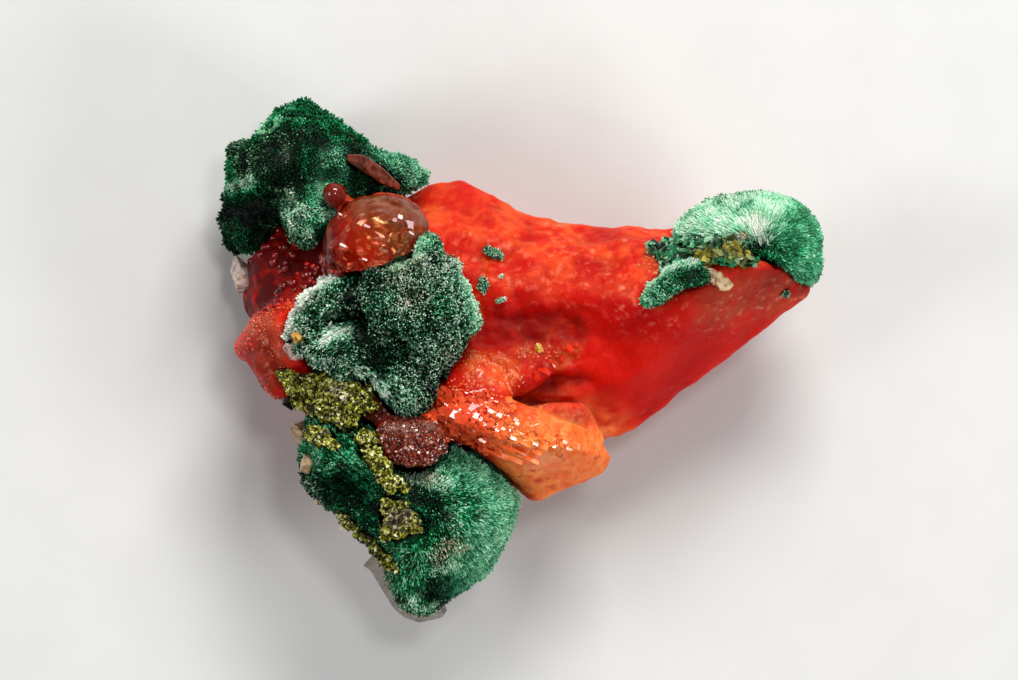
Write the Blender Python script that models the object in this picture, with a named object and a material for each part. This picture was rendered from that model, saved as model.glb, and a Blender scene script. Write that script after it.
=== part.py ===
"""A cuprite specimen with malachite, lying on its broken back.

+X runs along the red arm, +Y points to the upper malachite cluster, and +Z points up, away from the
surface that the stone lies on. Every shape is drawn in millimetres, with the middle of the stone at the
origin. The last step brings the finished solids to the stone's real length, in metres.
"""

import math
import random

import bmesh
import bpy
from mathutils import Matrix, Vector, noise
from mathutils.bvhtree import BVHTree

METRES_PER_MM = 0.001
# Real length of the stone along the arm, in mm.
STONE_LENGTH = 21.7
# Height of the flat broken back.
BACK_Z = 0.0
# Clear space between neighbouring minerals, so that no two solids share any volume.
SEAM = 0.05
# Cell of the grid that fuses several shapes into one skin, for large and for small minerals.
FUSE_CELL = 0.24
FINE_CELL = 0.13
# Spacing of the points along an outline, and the samples of its curve between two given points.
CURVE_STEP = 0.45
FINE_STEP = 0.35
CURVE_SAMPLES = 12
# Rings of faces from a lump's outline to its top, and how fast they close in.
RINGS = 7
RING_EASE = 1.4
# Faces of a crystal that meet at less than this angle are one flat face.
FLAT_ANGLE = math.radians(2)

# Triangles that each mineral is drawn with before its neighbours cut into it.
TRIANGLES = {
    "cuprite": 2500,
    "malachite_upper": 860,
    "malachite_front": 900,
    "malachite_lower": 900,
    "malachite_cap": 480,
    "malachite_finger": 160,
    "malachite_leaves": 320,
    "cuprite_druse": 200,
}
SPECK_TRIANGLES = 44
CRUST_TRIANGLES = 30
CRUST_TRIANGLES_PER_SPOT = 17
# Share of a large solid's triangles that stays after the cuts, and the size from which it is thinned.
SLIVER_SHARE = 0.68
FEW_TRIANGLES = 600

# Surface finishes: colour, roughness, metallic.
FINISHES = {
    "cuprite_red": ((0.62, 0.035, 0.02), 0.32, 0.0),
    "malachite_green": ((0.03, 0.22, 0.12), 0.7, 0.0),
    "olive_crust": ((0.26, 0.24, 0.03), 0.65, 0.0),
    "pale_spar": ((0.62, 0.56, 0.5), 0.4, 0.0),
    "clear_spar": ((0.78, 0.78, 0.76), 0.15, 0.0),
    "brown_spar": ((0.2, 0.06, 0.03), 0.45, 0.0),
    "gold_grain": ((0.75, 0.42, 0.06), 0.35, 0.0),
}


# Basic tools


def clear_scene():
    for old in list(bpy.data.objects):
        bpy.data.objects.remove(old)


def object_from(name, bm):
    """A new object that holds the finished bmesh, with its faces pointing out."""
    bmesh.ops.recalc_face_normals(bm, faces=bm.faces)
    mesh = bpy.data.meshes.new(name)
    bm.to_mesh(mesh)
    bm.free()
    made = bpy.data.objects.new(name, mesh)
    bpy.context.scene.collection.objects.link(made)
    return made


def discard(obj):
    mesh = obj.data
    bpy.data.objects.remove(obj)
    bpy.data.meshes.remove(mesh)


def apply_modifier(obj, kind, **settings):
    """Adds one modifier, bakes its result into the mesh and removes it."""
    modifier = obj.modifiers.new(kind.lower(), kind)
    for key, value in settings.items():
        setattr(modifier, key, value)
    graph = bpy.context.evaluated_depsgraph_get()
    baked = bpy.data.meshes.new_from_object(obj.evaluated_get(graph))
    obj.modifiers.clear()
    old = obj.data
    obj.data = baked
    bpy.data.meshes.remove(old)
    return obj


def keep_largest_shell(obj):
    """Removes the loose crumbs that a cut can leave beside the main body."""
    bm = bmesh.new()
    bm.from_mesh(obj.data)
    bm.verts.ensure_lookup_table()
    seen = set()
    shells = []
    for start in bm.verts:
        if start in seen:
            continue
        shell = {start}
        queue = [start]
        while queue:
            for edge in queue.pop().link_edges:
                for vert in edge.verts:
                    if vert not in shell:
                        shell.add(vert)
                        queue.append(vert)
        seen |= shell
        shells.append(shell)
    shells.sort(key=len)
    crumbs = [vert for shell in shells[:-1] for vert in shell]
    bmesh.ops.delete(bm, geom=crumbs, context="VERTS")
    bm.to_mesh(obj.data)
    bm.free()
    return obj


def carve(obj, cutter, discard_cutter=True):
    """Cuts one solid out of another."""
    apply_modifier(obj, "BOOLEAN", operation="DIFFERENCE", object=cutter, solver="EXACT")
    if discard_cutter:
        discard(cutter)
    return keep_largest_shell(obj)


def join_solid(obj, extra):
    """Adds one solid to another, keeping the flat faces of both."""
    apply_modifier(obj, "BOOLEAN", operation="UNION", object=extra, solver="EXACT")
    discard(extra)
    return keep_largest_shell(obj)


def swollen(obj, by):
    """A copy of a solid whose skin stands a little outside the original."""
    copy = bpy.data.objects.new(obj.name + "_cutter", obj.data.copy())
    bpy.context.scene.collection.objects.link(copy)
    offsets = [(vert, vert.normal.copy()) for vert in copy.data.vertices]
    for vert, normal in offsets:
        vert.co += normal * by
    return copy


def fuse(name, shapes, cell=FUSE_CELL):
    """Melts overlapping shapes into one closed skin."""
    bm = bmesh.new()
    for shape in shapes:
        bm.from_mesh(shape.data)
        discard(shape)
    fused = object_from(name, bm)
    return apply_modifier(fused, "REMESH", mode="VOXEL", voxel_size=cell)


def roughen(obj, height, width, seed, octaves=3):
    """Moves the skin in and out with a fractal noise of that height and lump width."""
    shift = Vector((seed * 7.3, seed * 3.1, seed * 5.7))
    moves = []
    for vert in obj.data.vertices:
        lift = noise.fractal(vert.co / width + shift, 1.0, 2.1, octaves)
        moves.append((vert, vert.normal * lift * height))
    for vert, move in moves:
        vert.co += move
    return obj


def slice_off(obj, point, normal):
    """Cuts away all that lies beyond a plane and closes the cut with a flat face."""
    bm = bmesh.new()
    bm.from_mesh(obj.data)
    whole = bm.verts[:] + bm.edges[:] + bm.faces[:]
    cut = bmesh.ops.bisect_plane(
        bm, geom=whole, plane_co=point, plane_no=normal, clear_outer=True, dist=1e-4
    )
    rim = [edge for edge in cut["geom_cut"] if isinstance(edge, bmesh.types.BMEdge)]
    bmesh.ops.contextual_create(bm, geom=rim)
    bm.to_mesh(obj.data)
    bm.free()
    return obj


def thin_out(obj, triangles):
    """Reduces the mesh to about that many triangles."""
    obj.data.calc_loop_triangles()
    ratio = min(1.0, triangles / len(obj.data.loop_triangles))
    return apply_modifier(obj, "DECIMATE", ratio=ratio, use_collapse_triangulate=True)


# Shapes drawn from outlines


def smooth_loop(points, step=CURVE_STEP):
    """Points at even spacing along a smooth closed curve through the given ones."""
    fine = []
    count = len(points)
    for i in range(count):
        a, b, c, d = (Vector(points[(i + k) % count]) for k in (-1, 0, 1, 2))
        for n in range(CURVE_SAMPLES):
            t = n / CURVE_SAMPLES
            bend = 2 * a - 5 * b + 4 * c - d
            twist = 3 * b - a - 3 * c + d
            fine.append(0.5 * (2 * b + (c - a) * t + bend * t**2 + twist * t**3))
    lengths = [(fine[(i + 1) % len(fine)] - fine[i]).length for i in range(len(fine))]
    total = sum(lengths)
    wanted = max(8, round(total / step))
    even, walked, i = [], 0.0, 0
    for n in range(wanted):
        target = total * n / wanted
        while walked + lengths[i] < target:
            walked += lengths[i]
            i += 1
        share = (target - walked) / lengths[i]
        even.append(fine[i].lerp(fine[(i + 1) % len(fine)], share))
    return even


def pillow(name, outline, heart, rim, crown, sole, lobes=(), fullness=2.2, step=CURVE_STEP):
    """A closed lump whose widest line is the outline, at height rim.

    The skin rises to crown and sinks to sole over the heart, the point that the rings shrink to.
    A lobe (x, y, radius, rise) lifts the upper skin round a point, or dents it where rise is negative.
    """
    loop = smooth_loop(outline, step)
    middle = Vector(heart)
    bm = bmesh.new()
    edge_ring = [bm.verts.new((p.x, p.y, rim)) for p in loop]
    for side, height in ((1, crown), (-1, sole)):
        below = edge_ring
        for k in range(1, RINGS + 1):
            reach = 1 - math.sin(math.pi / 2 * k / RINGS) ** RING_EASE
            swell = (1 - reach**fullness) ** (1 / fullness)
            points = [middle.lerp(p, reach) for p in loop] if k < RINGS else [middle]
            ring = []
            for p in points:
                z = rim + (height - rim) * swell
                if side > 0:
                    for x, y, radius, rise in lobes:
                        away = math.hypot(p.x - x, p.y - y) / radius
                        z += rise * swell * math.exp(-(away**2))
                ring.append(bm.verts.new((p.x, p.y, z)))
            if k < RINGS:
                bridge(bm, below, ring)
            else:
                fan(bm, below, ring[0])
            below = ring
    return object_from(name, bm)


def bridge(bm, lower, upper):
    count = len(lower)
    for i in range(count):
        j = (i + 1) % count
        bm.faces.new((lower[i], lower[j], upper[j], upper[i]))


def fan(bm, ring, tip):
    count = len(ring)
    for i in range(count):
        bm.faces.new((ring[i], ring[(i + 1) % count], tip))


def lump(name, centre, radii, turn=0.0, detail=3):
    """An egg shape with its three half-axes, turned about Z by a number of degrees."""
    bm = bmesh.new()
    bmesh.ops.create_icosphere(bm, subdivisions=detail, radius=1.0)
    spin = Matrix.Rotation(math.radians(turn), 4, "Z")
    place = Matrix.Translation(centre) @ spin @ Matrix.Diagonal((*radii, 1))
    bmesh.ops.transform(bm, matrix=place, verts=bm.verts)
    return object_from(name, bm)


def crystal(name, corners, bevel=0.06):
    """A flat-faced block: the tightest skin round its corners, with lightly worn edges."""
    bm = bmesh.new()
    for corner in corners:
        bm.verts.new(corner)
    hull = bmesh.ops.convex_hull(bm, input=bm.verts)
    inside = hull["geom_interior"] + hull["geom_unused"]
    spare = {piece for piece in inside if isinstance(piece, bmesh.types.BMVert)}
    bmesh.ops.delete(bm, geom=list(spare), context="VERTS")
    bmesh.ops.dissolve_limit(bm, angle_limit=FLAT_ANGLE, verts=bm.verts, edges=bm.edges)
    if bevel:
        bmesh.ops.bevel(bm, geom=bm.edges[:], offset=bevel, segments=1, affect="EDGES", clamp_overlap=True)
    bmesh.ops.triangulate(bm, faces=bm.faces)
    return object_from(name, bm)


# Cuprite: the arm, and the lumps and crystals that it is grown together with

# Stations along the arm: x, then y and z of the upper edge, the ridge and the lower edge, then the sole's z.
ARM = (
    (-6.0, 4.0, 2.6, 1.5, 4.6, -2.0, 2.8, -1.0),
    (-4.6, 5.9, 2.8, 2.6, 5.0, -2.8, 3.0, -1.0),
    (-3.2, 6.4, 3.2, 2.8, 5.7, -3.0, 3.0, -1.0),
    (-1.8, 6.5, 3.4, 2.5, 6.1, -3.1, 3.0, -1.0),
    (-0.3, 5.5, 3.4, 2.1, 6.4, -3.2, 3.0, -1.0),
    (1.7, 4.9, 3.6, 2.0, 6.6, -3.2, 3.1, -0.6),
    (3.0, 4.95, 3.7, 2.1, 6.8, -3.1, 3.2, 0.0),
    (4.3, 4.75, 3.9, 2.3, 7.0, -2.6, 3.4, 0.5),
    (5.4, 4.75, 4.0, 2.5, 7.2, -1.9, 3.6, 0.9),
    (7.0, 4.9, 4.3, 2.9, 7.3, -0.5, 4.0, 1.5),
    (8.6, 4.9, 4.5, 3.1, 7.1, 0.5, 4.3, 2.2),
    (9.8, 4.6, 4.7, 3.1, 6.6, 1.4, 4.6, 3.0),
    (10.5, 3.7, 4.8, 2.9, 5.8, 2.2, 4.8, 3.8),
)
# Three points on the smooth crystal face below the arm's ridge, and three on the face under it.
ARM_FACE = ((2.6, -3.73, 3.2), (10.65, 2.47, 4.75), (6.2, 2.2, 7.2))
ARM_UNDERFACE = ((2.6, -3.73, 3.2), (10.65, 2.47, 4.75), (6.4, 1.2, 0.9))
ARM_TIP = ((10.62, 2.5, 4.7), (10.75, 3.0, 5.0), (10.6, 2.7, 5.5))
ARM_HEART = (6.0, 3.0, 5.0)
# How far the arm's section bulges, in y and z, halfway down its lit slope and halfway down its shaded one.
SHOULDER_BULGE = (0.35, 0.45)
FLANK_BULGE = (-0.3, 0.35)
# Half the width of the block that cuts such a face, its thickness, and how far it runs past the second point.
FACE_REACH = 6.0
CUTTER_DEPTH = 3.0
CUTTER_SPARE = 1.0

CORE = (
    (-9.7, 1.4), (-10.1, 2.6), (-9.9, 3.9), (-9.0, 5.2), (-7.4, 5.6), (-4.6, 5.6), (-2.6, 3.6),
    (-1.6, 0.0), (-1.8, -3.2), (-3.0, -5.4), (-4.4, -5.4), (-6.4, -4.2), (-7.6, -2.2), (-8.6, 0.0),
)
LEFT_LOBE = (
    (-7.4, 1.9), (-8.6, 1.95), (-9.3, 1.65), (-9.75, 1.1), (-10.12, 0.55), (-10.05, 0.2), (-9.7, -0.05),
    (-9.3, -0.7), (-8.95, -1.2), (-8.5, -1.45), (-7.6, -1.2),
)
LEDGE = (
    (-2.6, 0.3), (-1.4, 0.55), (0.0, 0.55), (1.2, 0.6), (1.75, 0.55), (2.0, 0.05), (1.5, -0.35),
    (1.0, -0.8), (0.3, -1.15), (-0.5, -1.4), (-2.2, -1.4),
)
ROOT_LOBE = (
    (-2.7, -0.6), (-2.0, -0.05), (-1.2, 0.18), (-0.5, -0.1), (-0.12, -0.7), (-0.3, -1.4), (-1.2, -2.2),
    (-2.4, -2.4), (-3.2, -1.6),
)
SPUR_FRONT = (
    (-2.9, -1.9, 8.3), (-2.2, -1.25, 8.0), (-1.2, -1.05, 7.8), (-0.4, -1.65, 7.9), (0.1, -1.9, 8.0),
    (1.1, -1.9, 7.7), (2.2, -2.35, 7.3), (2.85, -2.75, 6.6), (3.28, -3.45, 5.9), (3.2, -3.75, 5.4),
    (2.9, -4.1, 5.6), (0.7, -5.0, 5.6), (0.1, -4.9, 5.0), (-1.3, -3.15, 5.9), (-2.5, -2.7, 6.6),
    (-2.0, -2.1, 8.9), (0.0, -2.9, 8.6), (2.3, -3.2, 7.3), (-2.8, -2.4, 4.0), (-1.0, -4.2, 3.6),
    (2.4, -3.9, 3.6), (2.2, -2.4, 3.6), (0.6, -4.7, 3.4),
)
SPUR_BACK = (
    (0.0, -1.7, 6.6), (1.0, -1.5, 6.7), (2.25, -1.5, 6.5), (2.6, -1.9, 6.1), (3.05, -2.9, 5.4),
    (0.2, -3.4, 6.4), (2.9, -3.2, 3.2), (2.2, -1.6, 3.0), (0.0, -1.8, 3.0), (0.2, -3.6, 3.0),
)
KNOB = (
    (-7.12, 3.55), (-7.02, 4.25), (-6.6, 5.15), (-5.9, 5.7), (-4.9, 5.95), (-4.0, 5.65), (-3.4, 5.1),
    (-3.25, 4.5), (-3.5, 3.6), (-4.4, 2.7), (-5.9, 2.4), (-6.9, 2.8),
)


def face_cutter(points, inside):
    """A block that lies against the plane through three points, on the side away from the inside.

    Its first edge starts at the first point and runs through the second.
    """
    a, b, c = (Vector(p) for p in points)
    along = (b - a).normalized()
    out = (b - a).cross(c - a).normalized()
    if out.dot(Vector(inside) - a) > 0:
        out.negate()
    across = out.cross(along)
    length = (b - a).length + CUTTER_SPARE
    corners = []
    for u in (0, length):
        for v in (-FACE_REACH, FACE_REACH):
            for w in (0, CUTTER_DEPTH):
                corners.append(a + along * u + across * v + out * w)
    return crystal("face_cutter", corners, bevel=0)


def arm_solid():
    bm = bmesh.new()
    rings = []
    for x, top_y, top_z, ridge_y, ridge_z, low_y, low_z, sole in ARM:
        top, ridge, low = Vector((top_y, top_z)), Vector((ridge_y, ridge_z)), Vector((low_y, low_z))
        shoulder = top.lerp(ridge, 0.5) + Vector(SHOULDER_BULGE)
        flank = ridge.lerp(low, 0.5) + Vector(FLANK_BULGE)
        belly = max(0.0, (low_z - sole))
        section = (
            top, shoulder, ridge, flank, low,
            Vector((low_y + 0.35 * belly, sole + 0.35 * belly)),
            Vector((low_y + 0.75 * belly, sole)),
            Vector((top_y - 0.7 * belly, sole)),
            Vector((top_y - 0.25 * belly, sole + 0.4 * belly)),
        )
        rings.append([bm.verts.new((x, *p)) for p in section])
    for lower, upper in zip(rings, rings[1:]):
        bridge(bm, lower, upper)
    for end in (rings[0], rings[-1]):
        bm.faces.new(end)
    return object_from("arm", bm)


def cuprite_solid():
    shapes = [
        arm_solid(),
        pillow("core", CORE, (-5.4, 0.6), rim=2.4, crown=5.2, sole=-1.0),
        pillow("left_lobe", LEFT_LOBE, (-8.4, 0.3), rim=5.6, crown=7.6, sole=1.2),
        pillow("ledge", LEDGE, (-0.4, -0.3), rim=5.4, crown=6.3, sole=3.4, step=FINE_STEP),
        pillow("root_lobe", ROOT_LOBE, (-1.7, -1.0), rim=6.6, crown=7.9, sole=3.0, step=FINE_STEP),
        pillow("knob", KNOB, (-5.1, 4.3), rim=6.4, crown=8.9, sole=3.4, step=FINE_STEP),
        lump("knob_nub", (-6.5, 5.85, 6.2), (0.4, 0.42, 0.5)),
        lump("druse_bulge", (-3.9, -2.75, 6.6), (1.35, 1.15, 1.75), -10),
        lump("stalk", (-5.0, 0.2, 5.6), (3.0, 3.6, 2.6)),
        lump("lower_stalk", (-3.9, -4.9, 4.0), (2.1, 2.4, 2.3), 20),
        lump("tip_swelling", (8.6, 3.0, 5.2), (1.7, 1.5, 1.7)),
    ]
    body = fuse("cuprite", shapes)
    roughen(body, height=0.16, width=1.1, seed=1)
    valley = lump("valley", (0.4, 1.05, 6.6), (2.4, 0.62, 2.5), 3)
    carve(body, valley)
    recess = lump("recess", (1.75, -1.0, 5.4), (0.85, 0.5, 1.3), -10)
    carve(body, recess)
    thin_out(body, TRIANGLES["cuprite"])
    for face in (ARM_FACE, ARM_UNDERFACE, ARM_TIP):
        carve(body, face_cutter(face, ARM_HEART))
    join_solid(body, crystal("spur_back", SPUR_BACK))
    join_solid(body, crystal("spur_front", SPUR_FRONT))
    return body


# Malachite: clusters of radiating needles, each one solid out to its needle tips

UPPER_CLUSTER = (
    (-7.65, 9.35), (-7.0, 9.0), (-6.5, 8.55), (-6.1, 8.4), (-5.9, 8.0), (-5.3, 7.8), (-4.9, 7.5),
    (-4.3, 7.4), (-3.8, 7.2), (-3.35, 6.8), (-3.3, 6.45), (-3.9, 6.0), (-4.8, 5.7), (-6.2, 5.2), (-7.2, 4.6),
    (-8.4, 4.9), (-9.4, 5.5), (-10.3, 6.0), (-10.8, 6.6), (-10.65, 7.2), (-10.3, 7.75), (-9.6, 8.15),
    (-8.9, 8.9), (-8.2, 9.3),
)
UPPER_LOBES = ((-9.2, 7.2, 1.3, 0.9), (-7.5, 8.2, 1.0, 0.7), (-7.4, 6.7, 0.6, -0.7), (-6.2, 6.4, 0.7, -0.3))
LEFT_CLUSTER = (
    (-8.6, 6.2), (-8.35, 5.2), (-8.6, 4.4), (-9.3, 3.75), (-10.0, 3.7), (-10.55, 3.95), (-10.8, 4.7),
    (-10.85, 5.6), (-10.7, 6.3), (-9.6, 6.6),
)
FRONT_CLUSTER = (
    (-8.45, 1.2), (-8.2, 1.9), (-7.7, 2.5), (-7.1, 2.85), (-6.75, 3.2), (-6.15, 3.3), (-5.7, 3.1),
    (-5.3, 3.45), (-4.8, 3.75), (-4.2, 3.8), (-3.7, 4.0), (-3.4, 4.5), (-3.15, 4.95), (-2.8, 4.65),
    (-2.6, 4.0), (-2.1, 3.7), (-1.85, 2.9), (-1.5, 2.2), (-1.35, 1.4), (-1.5, 0.8), (-1.85, 0.3),
    (-2.35, 0.05), (-2.45, -0.4), (-2.7, -0.9), (-3.05, -1.5), (-3.25, -2.1), (-3.9, -2.2), (-4.5, -2.05),
    (-4.95, -1.6), (-5.3, -1.15), (-6.0, -0.8), (-6.8, -0.8), (-7.4, -0.45), (-7.6, 0.0), (-8.15, 0.15),
    (-8.4, 0.6),
)
FRONT_LOBES = (
    (-4.1, 2.2, 1.9, 1.5), (-7.0, 0.7, 1.0, 0.8), (-4.0, -0.9, 1.0, 0.8), (-6.1, 1.55, 0.55, -1.5),
    (-5.0, -0.2, 0.7, -0.7), (-7.3, 2.0, 0.9, 0.3), (-2.6, 1.2, 0.9, 0.4),
)
LOWER_CLUSTER = (
    (-2.1, -2.65), (-1.4, -2.9), (-0.8, -3.4), (-0.25, -3.95), (0.08, -4.45), (0.12, -5.0), (-0.1, -5.7),
    (-0.45, -6.65), (-0.95, -7.5), (-1.6, -8.1), (-2.4, -8.5), (-2.75, -8.95), (-3.3, -9.2), (-3.85, -9.1),
    (-4.35, -8.8), (-4.62, -8.3), (-4.65, -7.75), (-4.95, -7.2), (-5.25, -6.7), (-5.8, -6.1), (-6.6, -5.6),
    (-7.3, -5.0), (-7.7, -4.65), (-7.95, -4.1), (-7.95, -3.3), (-7.95, -2.5), (-7.6, -1.7), (-6.8, -1.2),
    (-5.8, -1.5), (-5.0, -2.2), (-4.9, -3.2), (-4.2, -3.7), (-3.0, -3.6), (-2.5, -3.1),
)
LOWER_LOBES = (
    (-2.0, -5.2, 1.7, 0.6), (-6.7, -2.9, 1.2, 0.9), (-6.1, -4.5, 0.8, -0.9), (-4.7, -4.0, 0.8, 0.5),
    (-3.9, -7.6, 0.9, -0.3), (-3.4, -4.75, 0.5, -0.4), (-2.6, -7.2, 0.9, 0.5), (-4.9, -7.0, 0.5, -0.4),
)
CAP = (
    (5.35, 4.65), (5.75, 5.2), (6.3, 5.6), (7.05, 5.88), (8.0, 6.05), (9.0, 6.0), (9.9, 5.75),
    (10.5, 5.2), (10.84, 4.5), (10.8, 3.8), (10.75, 2.95), (10.5, 2.62), (10.15, 2.62), (9.75, 3.0),
    (9.2, 3.2), (8.5, 3.25), (7.9, 3.3), (7.2, 3.3), (6.4, 3.4), (5.7, 3.6), (5.3, 3.9), (5.35, 4.3),
)
CAP_LOBES = ((9.7, 4.2, 1.0, 0.3), (7.0, 4.6, 0.9, 0.25), (8.6, 4.1, 0.5, -0.5))
FINGER = (
    (6.6, 3.5), (5.9, 3.6), (5.3, 3.4), (4.8, 3.0), (4.35, 2.55), (4.15, 2.1), (4.4, 1.78), (4.9, 1.88),
    (5.3, 2.2), (5.9, 2.5), (6.5, 2.65), (6.9, 3.0),
)


def grown(name, shapes, height, width, seed, cell=FUSE_CELL):
    """One mineral fused from its shapes, with lumps of that height and width, at its number of triangles."""
    made = fuse(name, shapes, cell)
    roughen(made, height, width, seed)
    return thin_out(made, TRIANGLES[name])


def malachite_solids():
    """The malachite clusters, in the order in which one cuts into the next."""
    upper_shapes = [
        pillow("mass", UPPER_CLUSTER, (-7.6, 7.0), rim=3.4, crown=6.2, sole=0.6, lobes=UPPER_LOBES),
        pillow("left_mass", LEFT_CLUSTER, (-9.6, 5.1), rim=2.6, crown=4.2, sole=0.8),
        lump("fan_lobe", (-7.55, 4.95, 5.3), (0.95, 1.0, 1.3), 10),
        lump("middle_lobe", (-5.9, 7.0, 4.0), (1.4, 0.95, 1.7), -25),
        lump("bright_end", (-4.1, 6.7, 4.2), (0.85, 0.66, 1.2), -25),
    ]
    front_shape = pillow("mass", FRONT_CLUSTER, (-4.7, 1.2), rim=7.0, crown=9.0, sole=4.6, lobes=FRONT_LOBES)
    lower_shape = pillow("mass", LOWER_CLUSTER, (-3.9, -5.6), rim=5.2, crown=8.4, sole=2.4, lobes=LOWER_LOBES)
    cap_shape = pillow("mass", CAP, (8.3, 4.4), rim=5.0, crown=7.3, sole=3.4, lobes=CAP_LOBES)
    finger_shape = pillow("mass", FINGER, (5.4, 2.75), rim=7.3, crown=8.1, sole=6.2, step=FINE_STEP)
    return [
        grown("malachite_finger", [finger_shape], height=0.06, width=0.35, seed=6, cell=FINE_CELL),
        grown("malachite_cap", [cap_shape], height=0.06, width=0.7, seed=5),
        grown("malachite_front", [front_shape], height=0.12, width=0.6, seed=2),
        grown("malachite_lower", [lower_shape], height=0.1, width=0.7, seed=3),
        grown("malachite_upper", upper_shapes, height=0.2, width=0.8, seed=4),
    ]


# Small minerals that sit on the larger ones

# Olive crusts: spots of x, y and radius.
CRUSTS = {
    "crust_upper": (
        (-8.35, -0.55, 0.3), (-7.95, -0.75, 0.42), (-7.6, -1.25, 0.5), (-7.2, -0.8, 0.42),
        (-6.9, -1.45, 0.55), (-6.5, -0.95, 0.45), (-6.1, -1.6, 0.55), (-5.75, -1.15, 0.42),
        (-5.5, -1.55, 0.42), (-6.1, -2.2, 0.4), (-6.6, -1.9, 0.42),
    ),
    "crust_side": ((-7.7, -2.35, 0.28), (-7.3, -2.6, 0.34), (-6.9, -2.75, 0.3), (-6.55, -2.95, 0.28)),
    "crust_middle": (
        (-5.5, -2.75, 0.36), (-5.05, -2.75, 0.34), (-5.3, -3.2, 0.34), (-5.0, -3.6, 0.34),
        (-4.75, -4.05, 0.34), (-4.45, -4.35, 0.32), (-4.1, -4.5, 0.28),
    ),
    "crust_lower": (
        (-4.6, -5.2, 0.38), (-4.2, -5.3, 0.4), (-3.85, -5.75, 0.4), (-4.45, -5.8, 0.45), (-4.7, -6.1, 0.28),
    ),
    "crust_rim": (
        (-6.4, -5.45, 0.24), (-6.0, -5.75, 0.28), (-5.6, -6.1, 0.28), (-5.2, -6.4, 0.3), (-4.9, -6.8, 0.3),
        (-4.6, -7.15, 0.28), (-4.35, -7.4, 0.22),
    ),
}
DRUSE = (
    (-4.6, -2.55, 0.42), (-4.1, -2.65, 0.5), (-3.6, -2.6, 0.5), (-3.15, -2.75, 0.5), (-2.85, -3.1, 0.3),
    (-3.4, -3.2, 0.5), (-3.9, -3.2, 0.5), (-4.45, -3.15, 0.46),
)
# Dark leafy crystals under the cap: x, y, half length, half width, turn and lean in degrees.
LEAVES = (
    (4.95, 3.95, 0.5, 0.32, -30, 10), (5.45, 4.05, 0.45, 0.3, 35, -8), (5.35, 3.65, 0.55, 0.3, 60, 6),
    (5.85, 3.8, 0.52, 0.3, 20, 12), (6.2, 4.1, 0.48, 0.32, -40, 4), (6.25, 3.5, 0.5, 0.3, 75, -6),
    (6.75, 3.75, 0.55, 0.34, 10, 8), (6.85, 4.15, 0.42, 0.28, 55, -10), (7.25, 3.65, 0.5, 0.3, -25, 6),
    (7.55, 3.95, 0.48, 0.3, 80, 10), (7.95, 3.6, 0.55, 0.26, -10, -5), (6.6, 3.2, 0.42, 0.26, -60, 8),
)
# Green specks on the red arm: name, x, y, half length, half width, turn.
SPECKS = (
    ("speck_top", -0.95, 3.8, 0.46, 0.27, -25),
    ("speck_left", -1.3, 2.68, 0.27, 0.36, 10),
    ("speck_small", -0.65, 3.0, 0.14, 0.12, 0),
    ("speck_low", -0.65, 2.13, 0.26, 0.16, 20),
    ("speck_tip", 9.48, 2.37, 0.19, 0.22, 0),
)
# Chips and grains on top of the larger minerals: name, finish, x, y, half sizes along x, y and z, turn,
# and rise above the ground.
TOP_CHIPS = (
    ("pink_chip", "pale_spar", -8.02, 0.3, (0.46, 0.3, 0.3), -12, 0.06),
    ("gold_grain", "gold_grain", -7.86, 0.82, (0.17, 0.2, 0.18), 30, 0.08),
    ("tan_chip", "pale_spar", -7.55, -3.68, (0.26, 0.36, 0.26), -25, 0.05),
    ("ledge_grain", "gold_grain", 0.68, 0.4, (0.15, 0.19, 0.14), 15, 0.04),
    ("tan_flake", "pale_spar", 6.95, 2.95, (0.45, 0.2, 0.16), -25, 0.08),
)
# Chips on the steep left side: name, finish, centre, half sizes along x, y and z, and turn.
SIDE_CHIPS = (
    ("dark_chip", "clear_spar", (-8.25, -1.45, 5.9), (0.28, 0.38, 0.34), 25),
    ("grey_chip", "pale_spar", (-7.85, -2.6, 5.6), (0.3, 0.42, 0.4), 20),
    ("tan_bead", "pale_spar", (-7.12, -5.0, 5.5), (0.2, 0.18, 0.2), 0),
    ("pale_side", "pale_spar", (-10.0, 3.1, 2.3), (0.45, 0.75, 0.6), 12),
)
BROWN_BLADE = (
    (-6.15, 7.35, 5.9), (-6.2, 7.1, 5.9), (-5.5, 7.3, 6.3), (-5.55, 6.85, 6.35), (-4.75, 6.75, 6.1),
    (-4.9, 6.25, 6.2), (-4.25, 6.25, 5.6), (-4.3, 6.05, 5.5), (-6.1, 7.3, 5.2), (-4.3, 6.15, 4.8),
    (-5.4, 6.95, 5.1),
)
CLEAR_FLAKE = (
    (-5.62, -7.35), (-5.3, -7.0), (-4.6, -6.6), (-3.2, -7.2), (-2.6, -8.95), (-2.8, -9.2), (-3.6, -9.38),
    (-4.1, -9.22), (-4.5, -8.9), (-5.0, -8.1), (-5.35, -7.5),
)
# Lower and upper side of the flake at its first corner, and its rise in z for each mm of x and of y.
FLAKE_LOW_Z = 4.3
FLAKE_HIGH_Z = 4.65
FLAKE_TILT = (0.1, 0.0)
SPECK_HALF_HEIGHT = 0.22
LEAF_HALF_HEIGHT = 0.3
LEAF_RISE = 0.12
# A crust's spot spreads wider than its radius, is flatter than it is wide, and sinks a little into the ground.
SPOT_SPREAD = 1.25
SPOT_RISE = 0.75
SPOT_SINK = 0.1
CHIP_CORNERS = 14
# Height from which the ground is felt for.
SKY_Z = 50.0


class Ground:
    """The height of the highest surface of some solids."""

    def __init__(self, solids):
        self.trees = []
        for solid in solids:
            points = [vert.co for vert in solid.data.vertices]
            faces = [tuple(face.vertices) for face in solid.data.polygons]
            self.trees.append(BVHTree.FromPolygons(points, faces))

    def height(self, x, y):
        hits = [tree.ray_cast(Vector((x, y, SKY_Z)), Vector((0, 0, -1)))[0] for tree in self.trees]
        return max((hit.z for hit in hits if hit), default=BACK_Z)


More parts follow.
